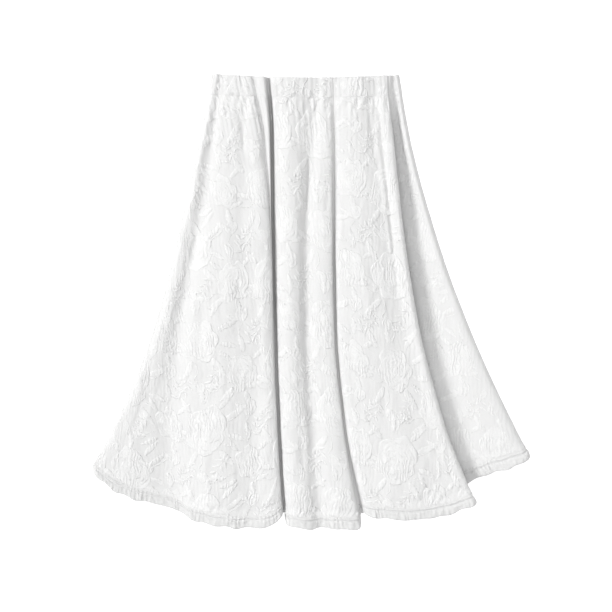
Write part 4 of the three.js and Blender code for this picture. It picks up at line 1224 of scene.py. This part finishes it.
# ---- hem bands ----
def hem_band(name, first, last, nu, seed, floor, node_name):
    start, end = hem_seam, (lambda l: l.hem)
    us = in_by(spread(first, last, nu, LOOP, start, end), LOOP)
    ss = np.unique(np.concatenate([np.linspace(0, 0.42, 15), np.linspace(0.42, 0.92, 11), [0.945, 0.965, 0.98, 0.992, 1.0]]))
    mid, out = surface(us, ss, LOOP, start, end)
    along = np.concatenate([[0], np.cumsum(np.linalg.norm(np.diff(mid[:, 8], axis=0), axis=-1))])[:, None]
    s = ss[None, :]
    t = s * HEM_BAND
    calm = line_value(us, LOOP, [max(0.25, l.calm) for l in LOOP])[:, None]
    ends = fade(along / 5) * fade((along[-1] - along) / 5)
    thick = 0.7 + 0.3 * calm
    lump = Noise(seed, 11, 1.0)(along, t * 0.7 + 0 * along)
    slow = Noise(seed + 1, 34, 1.0)(along, 0 * t + 0 * along)
    pucker = Noise(seed + 3, 6.5, 1.0)(along + 0.35 * t, 0 * t + 0 * along)
    pipe = np.exp(-((t - 2.7 - 0.9 * slow) / (1.3 + 0.3 * lump)) ** 2) * (0.75 + 0.30 * lump + 0.35 * slow)
    groove = -0.30 * np.exp(-((t - 6.0 - 0.8 * slow) / 1.1) ** 2)
    band = fade((t - 5.4 - 0.6 * slow) / 4.0) * (1.05 + 0.50 * slow + 0.50 * lump + 0.22 * pucker)
    fold = np.sqrt(np.clip(1 - ((t - 15.6) / 2.4).clip(0, 1) ** 2, 0, 1))
    rise = (pipe + groove + band) * thick
    over = (0.35 + rise * (0.35 + 0.65 * ends)) * fold
    if floor:
        over = np.minimum(over, 0.35 + 0.25 * (pipe + band) * fold) * fold
    outer = mid + out * over[..., None]
    inner = mid - out * ((0.55 + 0.35 * fade((t - 5) / 4) * calm) * fold)[..., None]
    # the folded edge wanders a little
    down = mid[:, -1:] - mid[:, -3:-2]
    down /= np.maximum(np.linalg.norm(down, axis=-1), 1e-9)[..., None]
    wander = (1.5 * slow + 0.7 * Noise(seed + 2, 22, 1.0)(along, 0 * t + 0 * along)) * fade((t - 7) / 9) * ends
    outer, inner = outer + down * wander[..., None], inner + down * wander[..., None]
    outer[..., 2], inner[..., 2] = np.maximum(outer[..., 2], 0.02), np.maximum(inner[..., 2], 0.45)
    pick = np.unique(np.round(np.linspace(0, nu - 1, nu // 2)).astype(int))
    rows = np.array([0, 6, 12, 18, 22, len(ss) - 4, len(ss) - 2, len(ss) - 1])
    uv = np.stack([along + 0 * t, t + 0 * along], -1) / 1000
    uv = np.concatenate([uv.reshape(-1, 2), uv[np.ix_(pick, rows)].reshape(-1, 2)])
    obj = mesh_object(name, *shell(outer, us, ss, inner[np.ix_(pick, rows)], us[pick], ss[rows]), uv, faced, "hem_cloth", 60)
    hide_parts(node_name)
    return obj, outer, grid_normals(outer), ss, along[:, 0]


front_hem, front_hem_grid, front_hem_up, hem_rows, front_hem_along = hem_band("front_hem_band", 0, SIDE, 640, 51, False, "hem_front")
back_hem, back_hem_grid, back_hem_up, _, back_hem_along = hem_band("back_hem_band", SIDE, len(LOOP), 420, 61, True, "hem_back")


# ---- stitches: short threads laid along a row of a grid ----
def stitches(name, runs, slot):
    parts = []
    for grid, up, column, pitch, long_, seed in runs:
        r = np.random.default_rng(seed)
        row, normal = grid[:, column], up[:, column]
        size = np.concatenate([[0], np.cumsum(np.linalg.norm(np.diff(row, axis=0), axis=1))])
        centres = np.arange(pitch, size[-1] - pitch, pitch)

        def at(a, g):
            return np.stack([np.interp(a, size, g[:, c]) for c in range(3)], -1)

        p, q, n = at(centres - long_ / 2, row), at(centres + long_ / 2, row), at(centres, normal)
        way = q - p
        way /= np.maximum(np.linalg.norm(way, axis=1), 1e-9)[:, None]
        n /= np.maximum(np.linalg.norm(n, axis=1), 1e-9)[:, None]
        side = np.cross(way, n)
        mid = (p + q) / 2
        half = long_ / 2 * r.uniform(0.9, 1.08, len(mid))
        lean = r.uniform(-0.12, 0.12, len(mid))
        way = way + side * lean[:, None]
        verts = []
        for k, (t, w) in enumerate([(-1.0, 0.15), (-0.72, 0.75), (0.0, 1.0), (0.72, 0.75), (1.0, 0.15)]):
            lift = 0.16 * (1 - t * t) - 0.10
            for a in range(6):
                c, s_ = math.cos(a * math.pi / 3), math.sin(a * math.pi / 3)
                verts.append(mid + way * (t * half)[:, None] + side * (0.30 * w * c) + n * (0.22 * w * s_ + lift))
        verts = np.stack(verts, 1)
        verts[..., 2] = np.maximum(verts[..., 2], 0.0)
        k = np.arange(len(mid)) * 30
        quads = [np.stack([k + i * 6 + a, k + i * 6 + (a + 1) % 6, k + (i + 1) * 6 + (a + 1) % 6, k + (i + 1) * 6 + a], -1)
                 for i in range(4) for a in range(6)]
        quads += [np.stack([k + b, k + a_, k + c_, k + d_], -1) for b, a_, c_, d_ in ((3, 2, 1, 0), (5, 4, 3, 0), (24, 25, 26, 27), (24, 27, 28, 29))]
        parts.append((verts.reshape(-1, 3), np.concatenate(quads)[:, ::-1], np.zeros((0, 3), int)))
    v, q, t = joined(parts)
    uv = np.stack([v[:, 0], v[:, 1]], -1) / 1000
    return mesh_object(name, v, q, t, uv, thread, slot)


near = lambda rows_, value: int(np.argmin(np.abs(rows_ - value)))
waist_thread = stitches("waist_stitches", [(casing_outer, casing_normal, near(ss, 1 - 3.0 / CASING), 3.1, 2.3, 71)], "gathered_cloth")
hem_column = near(hem_rows, 5.6 / HEM_BAND)
hem_thread = stitches("hem_stitches", [(front_hem_grid, front_hem_up, hem_column, 3.2, 2.4, 73), (back_hem_grid, back_hem_up, hem_column, 3.2, 2.4, 79)], "hem_cloth")

# ---- floor and light ----
bpy.ops.mesh.primitive_plane_add(size=9, location=(0, 0, -0.0004))
floor = bpy.context.object
floor.name = "floor"
m = bpy.data.materials.new("floor")
m.use_nodes = True
m.node_tree.nodes["Principled BSDF"].inputs["Base Color"].default_value = (0.55, 0.55, 0.55, 1)
m.node_tree.nodes["Principled BSDF"].inputs["Emission Color"].default_value = (1, 1, 1, 1)
m.node_tree.nodes["Principled BSDF"].inputs["Emission Strength"].default_value = 0.78      # a lit white table
m.node_tree.nodes["Principled BSDF"].inputs["Roughness"].default_value = 0.9
m.node_tree.nodes["Principled BSDF"].inputs["Specular IOR Level"].default_value = 0.1
floor.data.materials.append(m)

world = bpy.data.worlds.new("studio")
bpy.context.scene.world = world
world.use_nodes = True
world.node_tree.nodes["Background"].inputs["Color"].default_value = (1, 1, 1, 1)
world.node_tree.nodes["Background"].inputs["Strength"].default_value = 0.28


def lamp(name, kind, toward, strength, **more):
    data = bpy.data.lights.new(name, kind)
    data.energy = strength
    for k, v in more.items():
        setattr(data, k, v)
    obj = bpy.data.objects.new(name, data)
    obj.location = toward
    obj.rotation_euler = (-Vector(toward)).to_track_quat("-Z", "Y").to_euler()
    bpy.context.scene.collection.objects.link(obj)
    return obj


# a soft light from the left and a little from the waist side, and a very wide one overhead
lamp("key", "SUN", (-2.3, 0.75, 1.50), 2.20, angle=math.radians(16))
lamp("top", "SUN", (0.3, 0.2, 3.0), 1.86, angle=math.radians(75))

scene = bpy.context.scene
scene.view_settings.view_transform = "Standard"
scene.view_settings.look = "None"
scene.view_settings.exposure = 0.0
scene.view_settings.gamma = 1.0
